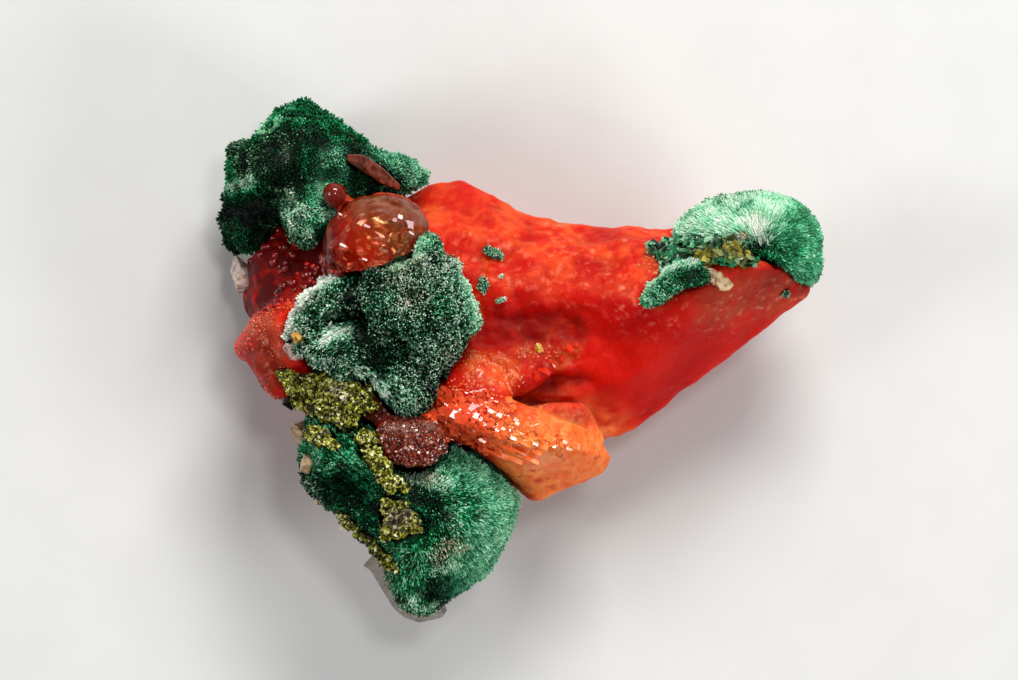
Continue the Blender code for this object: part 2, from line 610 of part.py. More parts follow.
def crust(name, spots, ground, triangles, seed):
    """A lumpy layer made of rounded, flattened spots that rest on the ground."""
    lumps = []
    for x, y, radius in spots:
        place = (x, y, ground.height(x, y) - SPOT_SINK * radius)
        half = (SPOT_SPREAD * radius, SPOT_SPREAD * radius, SPOT_RISE * radius)
        lumps.append(lump("spot", place, half, detail=2))
    made = fuse(name, lumps, FINE_CELL)
    keep_largest_shell(made)
    roughen(made, height=0.05, width=0.3, seed=seed)
    return thin_out(made, triangles)


def leaf_tangle(name, leaves, ground):
    blades = []
    for x, y, length, width, turn, lean in leaves:
        bm = bmesh.new()
        bmesh.ops.create_icosphere(bm, subdivisions=2, radius=1.0)
        place = (
            Matrix.Translation((x, y, ground.height(x, y) + LEAF_RISE))
            @ Matrix.Rotation(math.radians(turn), 4, "Z")
            @ Matrix.Rotation(math.radians(lean), 4, "Y")
            @ Matrix.Diagonal((length, width, LEAF_HALF_HEIGHT, 1))
        )
        bmesh.ops.transform(bm, matrix=place, verts=bm.verts)
        blades.append(object_from("leaf", bm))
    return keep_largest_shell(grown(name, blades, height=0.05, width=0.25, seed=8, cell=FINE_CELL))


def chip(name, centre, half, turn, seed):
    """A small irregular block of broken crystal."""
    draw = random.Random(seed)
    place = Matrix.Translation(centre) @ Matrix.Rotation(math.radians(turn), 4, "Z")
    corners = []
    for _ in range(CHIP_CORNERS):
        spot = Vector([draw.uniform(-1, 1) for _ in range(3)])
        spot *= 1 / max(abs(v) for v in spot)
        spot = spot.lerp(spot.normalized(), 0.5)
        corners.append(place @ Vector(a * b for a, b in zip(spot, half)))
    return crystal(name, corners, bevel=0)


def plate(name, outline, low, high, tilt):
    """A thin flake with that outline. It leans by tilt, its rise in z for each mm of x and of y."""
    bm = bmesh.new()
    start_x, start_y = outline[0]
    rings = []
    for level in (low, high):
        ring = []
        for x, y in outline:
            ring.append(bm.verts.new((x, y, level + tilt[0] * (x - start_x) + tilt[1] * (y - start_y))))
        rings.append(ring)
    bridge(bm, *rings)
    for ring in rings:
        bm.faces.new(ring)
    bmesh.ops.triangulate(bm, faces=bm.faces)
    return object_from(name, bm)


def small_solids(large):
    """Every small mineral, each with its finish, in the order in which one cuts into the next."""
    ground = Ground(large)
    made = []
    for name, finish, x, y, half, turn, lift in TOP_CHIPS:
        centre = (x, y, ground.height(x, y) + lift)
        made.append((chip(name, centre, half, turn, seed=len(made)), finish))
    for name, finish, centre, half, turn in SIDE_CHIPS:
        made.append((chip(name, centre, half, turn, seed=len(made)), finish))
    for name, x, y, length, width, turn in SPECKS:
        speck = lump(name, (x, y, ground.height(x, y)), (length, width, SPECK_HALF_HEIGHT), turn, detail=2)
        roughen(speck, height=0.05, width=0.2, seed=3)
        made.append((thin_out(speck, SPECK_TRIANGLES), "malachite_green"))
    made.append((crystal("brown_blade", BROWN_BLADE, bevel=0.05), "brown_spar"))
    made.append((plate("clear_flake", CLEAR_FLAKE, FLAKE_LOW_Z, FLAKE_HIGH_Z, FLAKE_TILT), "clear_spar"))
    made.append((leaf_tangle("malachite_leaves", LEAVES, ground), "malachite_green"))
    for seed, (name, spots) in enumerate(CRUSTS.items()):
        triangles = CRUST_TRIANGLES + CRUST_TRIANGLES_PER_SPOT * len(spots)
        made.append((crust(name, spots, ground, triangles, seed), "olive_crust"))
    made.append((crust("cuprite_druse", DRUSE, ground, TRIANGLES["cuprite_druse"], seed=11), "cuprite_red"))
    return made


# Assembly


def boxes_meet(first, second):
    ranges = []
    for solid in (first, second):
        columns = list(zip(*(vert.co for vert in solid.data.vertices)))
        ranges.append([(min(column), max(column)) for column in columns])
    return all(a[0] < b[1] and b[0] < a[1] for a, b in zip(*ranges))


def part_neighbours(solids):
    """Cuts every solid clear of those before it in the list."""
    cutters = [swollen(solid, SEAM) for solid in solids]
    for i, solid in enumerate(solids):
        for cutter in cutters[:i]:
            if boxes_meet(cutter, solid):
                carve(solid, cutter, discard_cutter=False)
    for cutter in cutters:
        discard(cutter)


def clean_cuts(solid):
    """Merges the slivers that the cuts left, which changes the shape by far less than a seam."""
    solid.data.calc_loop_triangles()
    before = len(solid.data.loop_triangles)
    thin_out(solid, before * (SLIVER_SHARE if before > FEW_TRIANGLES else 1))


def finish_surface(solid, finish):
    colour, roughness, metallic = FINISHES[finish]
    material = bpy.data.materials.new(solid.name)
    material.use_nodes = True
    shader = material.node_tree.nodes["Principled BSDF"]
    shader.inputs["Base Color"].default_value = (*colour, 1)
    shader.inputs["Roughness"].default_value = roughness
    shader.inputs["Metallic"].default_value = metallic
    solid.data.materials.clear()
    solid.data.materials.append(material)


def to_real_size(solids):
    """Centres the stone over the origin and brings it to its real length, in metres."""
    points = [vert.co for solid in solids for vert in solid.data.vertices]
    ranges = [(min(p[i] for p in points), max(p[i] for p in points)) for i in (0, 1)]
    (left, right), (near, far) = ranges
    scale = METRES_PER_MM * STONE_LENGTH / (right - left)
    move = Matrix.Scale(scale, 4) @ Matrix.Translation((-(left + right) / 2, -(near + far) / 2, -BACK_Z))
    for solid in solids:
        solid.data.transform(move)


def main():
    clear_scene()
    body = cuprite_solid()
    green = malachite_solids()
    small = small_solids([body, *green])
    finishes = dict(small)
    finishes |= {solid: "malachite_green" for solid in green}
    finishes[body] = "cuprite_red"
    solids = list(finishes)
    part_neighbours(solids)
    slice_off(body, (0, 0, BACK_Z), (0, 0, -1))
    for solid in solids:
        clean_cuts(solid)
    to_real_size(solids)
    for solid, finish in finishes.items():
        finish_surface(solid, finish)


main()
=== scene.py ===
# %% [markdown]
# # A cuprite specimen with malachite
# This notebook dresses the measured solids of a small mineral specimen. Cuprite is a glassy, orange-red
# copper oxide. Malachite is a green copper carbonate, and here it grows as velvet: thousands of needles, each
# about a twentieth of a millimetre thick. We load the solids first, because each finish has to sit on them.

import math

import bmesh
import bpy
import numpy as np
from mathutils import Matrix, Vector, noise
from mathutils.bvhtree import BVHTree


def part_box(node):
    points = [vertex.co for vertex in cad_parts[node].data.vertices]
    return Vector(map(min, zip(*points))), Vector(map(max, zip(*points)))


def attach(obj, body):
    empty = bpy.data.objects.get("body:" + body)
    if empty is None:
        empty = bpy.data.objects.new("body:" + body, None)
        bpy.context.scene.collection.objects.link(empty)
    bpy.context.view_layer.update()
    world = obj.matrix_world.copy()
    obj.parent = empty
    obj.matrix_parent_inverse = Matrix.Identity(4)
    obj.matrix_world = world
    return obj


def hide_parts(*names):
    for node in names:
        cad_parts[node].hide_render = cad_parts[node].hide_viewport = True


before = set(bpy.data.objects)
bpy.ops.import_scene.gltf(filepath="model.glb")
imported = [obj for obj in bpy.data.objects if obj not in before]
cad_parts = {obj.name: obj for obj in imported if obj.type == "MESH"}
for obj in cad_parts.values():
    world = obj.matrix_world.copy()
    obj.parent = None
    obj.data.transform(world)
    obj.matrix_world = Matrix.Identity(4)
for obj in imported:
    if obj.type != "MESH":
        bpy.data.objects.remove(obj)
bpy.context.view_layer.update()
MM = 0.001

# %% [markdown]
# ## Camera and light
# A macro photographer looks straight down at the stone from about a quarter of a metre, with a long lens, so
# near parts look hardly larger than far ones. We place the camera first, because every size that follows is
# judged through it. Depth of field stays off: the stone should be sharp from every side.

# %% Camera
LENS_MM = 247.5
CAMERA_AT = (-0.357, 0.714, 255.0)


def added(name, data):
    """A new object of the scene."""
    made = bpy.data.objects.new(name, data)
    bpy.context.scene.collection.objects.link(made)
    return made


view = bpy.data.cameras.new("macro_lens")
view.lens = LENS_MM
view.clip_start = 0.01
view.clip_end = 5.0
camera = added("macro_camera", view)
camera.location = Vector(CAMERA_AT) * MM
bpy.context.scene.camera = camera
print("camera height in mm:", CAMERA_AT[2])

# %% [markdown]
# The light of the studio is a large soft panel beyond the stone's upper edge, a weaker one at the lower right
# that keeps the shaded slopes readable, and a small one beside the lens, which puts sparks on flat crystal
# faces. Area lights give soft shadows with no extra work, and a dim world stands for the pale room.

# %% Light
SPARK_AT = (40, 45, 240)


def panel(name, at, aim, size, watts, tint=(1, 1, 1)):
    light = bpy.data.lights.new(name, "AREA")
    light.shape = "RECTANGLE"
    light.size, light.size_y = (side * MM for side in size)
    light.energy = watts
    light.color = tint
    lamp = added(name, light)
    lamp.location = Vector(at) * MM
    lamp.rotation_euler = (Vector(aim) - Vector(at)).to_track_quat("-Z", "Y").to_euler()


panel("upper_panel", (40, 165, 150), (0, 1, 4), (100, 60), 0.46, (1.0, 0.98, 0.95))
panel("lower_panel", (150, -90, 110), (0, 0, 4), (70, 70), 0.19)
panel("left_panel", (-150, 0, 120), (0, 0, 4), (60, 60), 0.11)
panel("spark_panel", SPARK_AT, (0, 0, 6), (36, 28), 0.1)

room = bpy.data.worlds.new("room")
room.use_nodes = True
room.node_tree.nodes["Background"].inputs["Color"].default_value = (0.9, 0.93, 1.0, 1)
room.node_tree.nodes["Background"].inputs["Strength"].default_value = 0.12
bpy.context.scene.world = room
bpy.context.scene.view_settings.view_transform = "Standard"

# %% [markdown]
# ## Finishes
# A finish is a small network of nodes. Written one node at a time it is long and hard to read, so we wrap a
# socket in a class with arithmetic: `pale * 0.5 + 0.2` adds the Math nodes by itself. Everything that is not
# plain arithmetic comes from the one method `node`.

# %% Sockets with arithmetic


def srgb(red, green, blue):
    """A colour on the usual 0 to 255 scale, as the linear light that shaders use."""
    shares = [v / 255 for v in (red, green, blue)]
    linear = [v / 12.92 if v <= 0.04045 else ((v + 0.055) / 1.055) ** 2.4 for v in shares]
    return (*linear, 1.0)


class Wire:
    """One output socket of a finish."""

    def __init__(self, finish, socket):
        self.finish = finish
        self.socket = socket

    def maths(self, operation, *values, clamp=False):
        settings = {"operation": operation, "use_clamp": clamp}
        return self.finish.node("ShaderNodeMath", settings, dict(enumerate(values)))

    def __add__(self, other):
        return self.maths("ADD", self, other)

    def __sub__(self, other):
        return self.maths("SUBTRACT", self, other)

    def __rsub__(self, other):
        return self.maths("SUBTRACT", other, self)

    def __mul__(self, other):
        return self.maths("MULTIPLY", self, other)

    def __pow__(self, other):
        return self.maths("POWER", self, other)

    def kept(self):
        """The same value, held between 0 and 1."""
        return self.maths("ADD", self, 0.0, clamp=True)

    __radd__ = __add__
    __rmul__ = __mul__


# %% Finish class


class Finish:
    """A material that is built up by its nodes."""

    def __init__(self, name, **fixed):
        self.material = bpy.data.materials.new(name)
        self.material.use_nodes = True
        self.tree = self.material.node_tree
        self.shader = self.tree.nodes["Principled BSDF"]
        for socket, value in fixed.items():
            self.shader.inputs[socket.replace("_", " ")].default_value = value
        self.place = self.node("ShaderNodeTexCoord", out="Object")

    def node(self, kind, settings=None, sockets=None, out=0):
        """Any node, with its settings and what goes into its sockets. It gives one of its outputs."""
        made = self.tree.nodes.new(kind)
        for key, value in (settings or {}).items():
            if key == "stops":
                self.set_stops(made.color_ramp, value)
            else:
                setattr(made, key, value)
        for key, value in (sockets or {}).items():
            self.feed(made.inputs[key], value)
        return Wire(self, made.outputs[out])

    def feed(self, socket, value):
        if isinstance(value, Wire):
            self.tree.links.new(value.socket, socket)
        else:
            socket.default_value = value

    def set_stops(self, ramp, stops):
        while len(ramp.elements) < len(stops):
            ramp.elements.new(1.0)
        for element, (at, *colour) in zip(ramp.elements, stops):
            element.position = at
            element.color = srgb(*colour)

    def trait(self, name):
        """A number that each point of the mesh carries."""
        return self.node("ShaderNodeAttribute", {"attribute_name": name}, out="Fac")

    def grain(self, width_mm, detail=2.0, roughness=0.5):
        """Noise whose lumps are about that many millimetres wide."""
        sockets = {"Vector": self.place, "Scale": 1 / (width_mm * MM), "Detail": detail}
        sockets["Roughness"] = roughness
        return self.node("ShaderNodeTexNoise", None, sockets, out="Fac")

    def cells(self, width_mm, feature="F1"):
        sockets = {"Vector": self.place, "Scale": 1 / (width_mm * MM)}
        return self.node("ShaderNodeTexVoronoi", {"feature": feature}, sockets, out="Distance")

    def step(self, value, low, high):
        """0 below low, 1 above high, and smooth between them."""
        sockets = {"Value": value, "From Min": low, "From Max": high}
        return self.node("ShaderNodeMapRange", {"interpolation_type": "SMOOTHSTEP"}, sockets)

    def ramp(self, value, *stops):
        """A colour read off a row of stops, each a position and three srgb numbers."""
        return self.node("ShaderNodeValToRGB", {"stops": stops}, {"Fac": value}, out="Color")

    def blend(self, share, first, second):
        """A colour between two others. A tuple is read as srgb numbers."""
        first, second = (srgb(*c) if isinstance(c, tuple) else c for c in (first, second))
        return self.node("ShaderNodeMix", {"data_type": "RGBA"}, {0: share, 6: first, 7: second}, out=2)

    def shade(self, colour, share):
        """A colour made darker where share is below 1."""
        return self.node("ShaderNodeVectorMath", {"operation": "SCALE"}, {0: colour, "Scale": share})

    def bump(self, height, strength, depth_mm):
        sockets = {"Height": height, "Strength": strength, "Distance": depth_mm * MM}
        return self.node("ShaderNodeBump", None, sockets)

    def wear(self, **linked):
        """Feeds the shader's own sockets."""
        for socket, value in linked.items():
            self.feed(self.shader.inputs[socket.replace("_", " ")], value)
        return self.material


print("finish tools ready")

# %% [markdown]
# ## Shapes as arrays
# The solids are faceted and plain. Every visible skin starts as a fine copy of one of them: a voxel remesh
# gives even little faces, and numpy then moves hundreds of thousands of points at once. We work in
# millimetres here and turn to metres when a piece is made.

# %% A shape and its normals


def unit(vectors):
    return vectors / np.maximum(np.linalg.norm(vectors, axis=-1, keepdims=True), 1e-9)


def edges_of(triangles):
    return np.concatenate([triangles[:, [0, 1]], triangles[:, [1, 2]], triangles[:, [2, 0]]])


class Shape:
    """Points in mm, triangles, and one number per point for each trait."""

    def __init__(self, points, triangles, smooth, **traits):
        self.points = np.asarray(points, float)
        self.triangles = np.asarray(triangles, int)
        self.smooth = np.full(len(self.triangles), smooth)
        self.traits = traits

    def face_vectors(self):
        a, b, c = (self.points[self.triangles[:, k]] for k in range(3))
        return np.cross(b - a, c - a)

    def normals(self):
        faces = self.face_vectors()
        total = np.zeros_like(self.points)
        for axis in range(3):
            for corner in range(3):
                total[:, axis] += np.bincount(self.triangles[:, corner], faces[:, axis], len(self.points))
        return unit(total)

    def sunk(self, depth, **traits):
        """A copy of the skin, depth mm below it."""
        return Shape(self.points - self.normals() * depth, self.triangles, True, **traits)

    def relax(self, rounds, share=0.5):
        """Smooths the skin. A share may be a number for each point."""
        ends = edges_of(self.triangles)
        count = np.bincount(ends[:, 0], minlength=len(self.points))[:, None]
        share = np.broadcast_to(share, len(self.points))[:, None]
        for _ in range(rounds):
            around = [np.bincount(ends[:, 0], self.points[ends[:, 1], k], len(self.points)) for k in range(3)]
            self.points += share * (np.stack(around, 1) / count - self.points)
        return self


def joined(shapes):
    """One shape out of several. A trait that a shape lacks is 0 there."""
    starts = np.cumsum([0] + [len(s.points) for s in shapes])
    names = sorted({name for s in shapes for name in s.traits})
    traits = {}
    for name in names:
        parts = [np.broadcast_to(s.traits.get(name, 0.0), len(s.points)) for s in shapes]
        traits[name] = np.concatenate(parts)
    points = np.concatenate([s.points for s in shapes])
    whole = Shape(points, np.concatenate([s.triangles + n for s, n in zip(shapes, starts)]), True, **traits)
    whole.smooth = np.concatenate([s.smooth for s in shapes])
    return whole


print("shape tools ready")

# %% Fine copies of the solids


def welded(node):
    """A solid's mesh in mm, with its corners joined."""
    bm = bmesh.new()
    bm.from_mesh(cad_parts[node].data)
    bmesh.ops.scale(bm, vec=(1 / MM,) * 3, verts=bm.verts)
    bmesh.ops.remove_doubles(bm, verts=bm.verts, dist=1e-3)
    return bm


def shape_of(mesh, smooth=True):
    mesh.calc_loop_triangles()
    points = np.empty(len(mesh.vertices) * 3, np.float32)
    mesh.vertices.foreach_get("co", points)
    triangles = np.empty(len(mesh.loop_triangles) * 3, np.int32)
    mesh.loop_triangles.foreach_get("vertices", triangles)
    return Shape(points.reshape(-1, 3), triangles.reshape(-1, 3), smooth)


def fine_skin(node, cell):
    """A closed skin of even faces over a solid, cell mm apart."""
    bm = welded(node)
    mesh = bpy.data.meshes.new("fine_skin")
    bm.to_mesh(mesh)
    bm.free()
    holder = added("fine_skin", mesh)
    remesh = holder.modifiers.new("remesh", "REMESH")
    remesh.mode = "VOXEL"
    remesh.voxel_size = cell
    made = bpy.data.meshes.new_from_object(holder.evaluated_get(bpy.context.evaluated_depsgraph_get()))
    bpy.data.objects.remove(holder)
    shape = shape_of(made)
    for spare in (mesh, made):
        bpy.data.meshes.remove(spare)
    return shape


print("fine copies ready")

# %% Noise on points


def kept(values):
    """The same values, held between 0 and 1."""
    return np.clip(values, 0, 1)


def lumps(points, width, seed, octaves=3):
    """Smooth noise from about -1 to 1, with lumps of that width."""
    shift = Vector((seed * 3.7, seed * 5.1, seed * 1.3))
    return np.array([noise.fractal(Vector(p) / width + shift, 1.0, 2.0, octaves) for p in points])


def pebbles(points, width, seed):
    """Rounded bumps side by side, 1 on top of each and near 0 in the gaps."""
    shift = Vector((seed * 2.9, seed * 4.3, seed * 6.1))
    return np.array([1 - min(1.0, noise.voronoi(Vector(p) / width + shift)[0][0]) ** 2 for p in points])


def stroke(points, path, reach):
    """1 on a path of x and y numbers, and fading to 0 at reach mm from it."""
    flat = points[:, :2]
    nearest = np.full(len(points), np.inf)
    ends = np.reshape(np.array(path, float), (-1, 2))
    for a, b in zip(ends, ends[1:] if len(ends) > 1 else ends):
        along = b - a
        share = kept((flat - a) @ along / max(along @ along, 1e-9))
        nearest = np.minimum(nearest, np.linalg.norm(flat - a - share[:, None] * along, axis=1))
    fade = kept(1 - nearest / reach)
    return fade * fade * (3 - 2 * fade)


def painted(points, strokes, seed):
    """The strongest of several strokes, with frayed edges. A stroke is a reach, a strength and a path."""
    total = np.zeros(len(points))
    fray = lumps(points, 0.5, seed) if strokes else 0
    for reach, strength, *path in strokes:
        total = np.maximum(total, strength * kept(stroke(points, path, reach) * (1 + 0.9 * fray)))
    return total


print("noise and strokes ready")

# %% A finished piece


def piece(name, shape, material, slot, *replaced):
    """Turns a shape into an object that rides on the stone, and hides the solids that it takes the place of.
    """
    mesh = bpy.data.meshes.new(name)
    mesh.vertices.add(len(shape.points))
    mesh.vertices.foreach_set("co", (shape.points * MM).astype(np.float32).ravel())
    mesh.loops.add(shape.triangles.size)
    mesh.loops.foreach_set("vertex_index", shape.triangles.ravel())
    mesh.polygons.add(len(shape.triangles))
    mesh.polygons.foreach_set("loop_start", np.arange(0, shape.triangles.size, 3))
    mesh.polygons.foreach_set("use_smooth", shape.smooth)
    mesh.update(calc_edges=True)
    mesh.validate()
    for trait, values in shape.traits.items():
        held = mesh.attributes.new(trait, "FLOAT", "POINT")
        held.data.foreach_set("value", np.broadcast_to(values, len(shape.points)).astype(np.float32))
    mesh.materials.append(material)
    made = added(name, mesh)
    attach(made, "root")
    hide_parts(*replaced)
    print(name, len(shape.triangles), "triangles")


# %% [markdown]
# ## Places on a skin
# Needles, grains and small crystals all start from places spread evenly over a skin. Random places clump, so
# we throw too many and keep the first one in each small cell of a grid. Places where another mineral covers
# the skin are left out: nothing grows, or is seen, there.

# %% Scatter and cover
THROWS_PER_PLACE = 4
ABOVE_ALL = 30.0


def tree_of(shape):
    return BVHTree.FromPolygons(shape.points.tolist(), shape.triangles.tolist())


node_trees = {name: tree_of(shape_of(solid.data)) for name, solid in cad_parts.items()}


def scatter(shape, spacing, seed):
    """Places and normals about spacing mm apart."""
    draw = np.random.default_rng(seed)
    faces = shape.face_vectors()
    areas = np.linalg.norm(faces, axis=1) / 2
    count = int(areas.sum() / spacing**2 * THROWS_PER_PLACE)
    picked = draw.choice(len(areas), count, p=areas / areas.sum())
    u, v = draw.random((2, count))
    over = u + v > 1
    u[over], v[over] = 1 - u[over], 1 - v[over]
    weights = np.stack([1 - u - v, u, v], 1)[:, :, None]
    corners = shape.triangles[picked]
    places = (shape.points[corners] * weights).sum(1)
    normals = unit((shape.normals()[corners] * weights).sum(1))
    boxes = np.floor(places / spacing).astype(int)
    _, first = np.unique(boxes, axis=0, return_index=True)
    return places[first], normals[first]


def uncovered(places, normals, own, reach):
    """Which places no other mineral covers within reach mm."""
    others = [tree for name, tree in node_trees.items() if name not in own]
    free = np.ones(len(places), bool)
    for i, (place, normal) in enumerate(zip(places, normals)):
        start = Vector(place) * MM
        way = Vector(normal)
        free[i] = not any(tree.ray_cast(start, way, reach * MM)[0] for tree in others)
    return free


def landed(tree, spots):
    """Where x, y spots meet a skin from above, and the normals there."""
    hits = [tree.ray_cast(Vector((x, y, ABOVE_ALL)), Vector((0, 0, -1))) for x, y in spots]
    return np.array([hit[0] for hit in hits]), np.array([hit[1] for hit in hits])


print("solid trees:", len(node_trees))

# %% [markdown]
# Small crystals, beads and needles are all closed prisms: rings of points, one above the other. Four sides
# and a wide top give a plate or a cube, five or six sides and a narrow top a grain, many round rings a bead.
# Each function makes thousands of them as arrays, which is far quicker than one object for each.

# %% Small crystals
TURN = 2 * math.pi


def across(ways, toward=None):
    """Two unit vectors square to each way, the first as near to toward as can be."""
    if toward is None:
        toward = np.where(np.abs(ways[:, 2:]) < 0.9, [[0.0, 0.0, 1.0]], [[1.0, 0.0, 0.0]])
    first = unit(toward - ways * (toward * ways).sum(-1, keepdims=True))
    return first, np.cross(ways, first)


def prisms(rings, sides, smooth, tints, **traits):
    """Closed prisms, one for each tint. The rings run from the bottom up, with that many sides each."""
    last = len(rings) - sides
    pattern = [(0, k + 1, k) for k in range(1, sides - 1)]
    pattern += [(last, last + k, last + k + 1) for k in range(1, sides - 1)]
    for ring in range(0, last, sides):
        for k in range(sides):
            a, b = ring + k, ring + (k + 1) % sides
            pattern += [(a, b, b + sides), (a, b + sides, a + sides)]
    faces = np.array(pattern) + len(rings) * np.arange(len(tints))[:, None, None]
    points = np.stack(rings, 1).reshape(-1, 3)
    return Shape(points, faces.reshape(-1, 3), smooth, tint=np.repeat(tints, len(rings)), **traits)


def crystals(
    places, ways, widths, lengths, heights, seed, depth=0.5, sides=4, top=0.8, shoulder=0.7, toward=None
):
    """Closed prisms with bevelled tops, half sunk in the skin."""
    draw = np.random.default_rng(seed)
    count = len(places)
    first, second = across(ways, toward)
    spin = draw.uniform(0, TURN, count) if toward is None else draw.normal(0, 0.12, count)
    widths, lengths, heights = (np.broadcast_to(v, count)[:, None] for v in (widths, lengths, heights))
    uneven = draw.uniform(0.82, 1.12, (count, sides))
    rings = []
    for level, share in ((-depth, 1.0), (shoulder, 1.0), (1.0, top)):
        for k in range(sides):
            angle = (spin + (k + 0.5) * TURN / sides)[:, None]
            reach = share * uneven[:, k : k + 1] / math.cos(math.pi / sides) / 2
            side = first * np.cos(angle) * lengths + second * np.sin(angle) * widths
            rings.append(places + side * reach + ways * heights * level)
    return prisms(rings, sides, False, draw.random(count))


def turned(places, ways, sizes, profile, sides, tints, **traits):
    """Smooth round forms. A profile has a height and a radius in each row, from the bottom up."""
    first, second = across(ways)
    rings = []
    for height, radius in profile:
        for angle in np.arange(sides) * TURN / sides:
            side = first * math.cos(angle) + second * math.sin(angle)
            rings.append(places + (side * radius + ways * height) * sizes)
    return prisms(rings, sides, True, tints, **traits)


def spread_trait(shape, values):
    """Gives each crystal's own value to all of its points."""
    return np.repeat(values, len(shape.points) // len(values))


def leaning(draw, ways, spread):
    """The same ways, each a little off at random."""
    return unit(ways + draw.normal(0, spread, ways.shape))


def spark_ways(places):
    """The way a flat face points when it throws the spark panel's light up to the lens."""
    return unit(unit(np.array(CAMERA_AT) - places) + unit(np.array(SPARK_AT, float) - places))


print("crystal maker ready")

# %% [markdown]
# ## Cuprite
# The arm and core of cuprite are one translucent crystal mass. Light enters it and comes out again nearby, so
# its shaded side still glows deep red. A painted surface would look like plastic there, so the finish uses
# subsurface scattering. Where faces are clean, a trait called gloss turns the surface from frosted to glassy.
# The finish also paints some light and shade: a brighter red on slopes that face the upper panel, pale
# highlight spots, and darker red in creases and hollows.

# %% Cuprite finish
SCATTER_MM = 1.0


def cuprite_finish(name, scattering):
    """Small crystals are thinner than the light's path, so they get no scattering of their own."""
    skin = Finish(
        name,
        Subsurface_Weight=scattering,
        Subsurface_Radius=(1.0, 0.12, 0.05),
        Subsurface_Scale=SCATTER_MM * MM,
        Specular_IOR_Level=0.1,
        Coat_Roughness=0.06,
        Coat_IOR=1.7,
    )
    broad = skin.grain(2.2, 3.0)
    middle = skin.grain(0.8, 3.0)
    fine = skin.grain(0.3, 4.0, 0.6)
    tint, gloss = skin.trait("tint"), skin.trait("gloss")
    red = skin.blend(skin.step(broad, 0.35, 0.68), (186, 8, 4), (216, 22, 8))
    # Painted light: slopes that face the upper panel take a brighter, more orange red, through the lit trait.
    lit_red = skin.blend(skin.step(middle * 0.6 + fine * 0.4, 0.4, 0.6), (216, 30, 12), (246, 96, 36))
    lit = skin.blend(skin.trait("lit") * skin.step(broad, 0.25, 0.6), red, lit_red)
    orange = skin.blend(skin.step(fine, 0.3, 0.75), (252, 106, 36), (255, 150, 80))
    warm = skin.blend(skin.trait("orange"), lit, orange)
    brown = skin.blend(skin.step(broad, 0.35, 0.65), (146, 38, 20), (184, 66, 34))
    tanned = skin.blend(skin.trait("tan"), warm, (196, 128, 84))
    stained = skin.blend(skin.trait("brown"), tanned, brown)
    # Painted highlight: small pale spots on the lit slopes, standing for glints on tiny faces.
    spots = skin.step(skin.cells(0.62), 0.34, 0.1) * skin.step(skin.grain(0.5, 1.0), 0.5, 0.62)
    glint_spotted = skin.blend(spots * skin.trait("lit") * 0.6, stained, (255, 160, 120))
    # Painted shade: the gaps between the cobbles are darker red.
    crease_shaded = skin.blend(skin.trait("crease") * 0.3, glint_spotted, (150, 4, 2))
    # Painted shade and own colour: the deep trait makes the valley, the cavity and the recess dark red for
    # their shade, and gives some places a darker red of their own.
    deep = skin.blend(skin.trait("deep"), crease_shaded, (88, 2, 1))
    # Partly painted highlight: pale frosted patches, which on the arm's top slope, its tip and the round lobe
    # stand for soft highlights.
    frost_highlighted = skin.blend(skin.step(fine, 0.5, 0.74) * skin.trait("frost"), deep, (250, 164, 134))
    net = skin.step(skin.cells(0.7, "DISTANCE_TO_EDGE") + 0.3 * (fine - 0.5), 0.03, -0.02)
    crack = net * skin.step(middle, 0.52, 0.6)
    cracked = skin.blend(crack * skin.trait("orange") * 0.6, frost_highlighted, (120, 50, 24))
    varied = skin.shade(cracked, tint * 0.5 + 0.75)
    rough = (0.46 - 0.32 * gloss + 0.4 * (fine - 0.5)).kept()
    ripple = skin.bump(skin.grain(0.14, 5.0, 0.65) + 0.6 * skin.grain(0.5, 3.0), 0.7, 0.06)
    return skin.wear(Base_Color=varied, Roughness=rough, Coat_Weight=gloss * 0.9, Normal=ripple)


cuprite_skin = cuprite_finish("cuprite", 0.8)
cuprite_faces = cuprite_finish("cuprite_faces", 0.0)
print("cuprite finish:", len(cuprite_skin.node_tree.nodes), "nodes")

# %% [markdown]
# The body is remeshed at about a tenth of a millimetre. That loses no visible edge, and leaves room for real
# relief: soft cobbles on the lit slope, flat faces on the spur, and beads in the deep recess at the left. The
# knob at the upper left is clear, so the body is pushed in below it, and a clear lens will fill the hollow.
# Places that more than one stroke uses have names. A soft floor is a path, its reach and the least height.

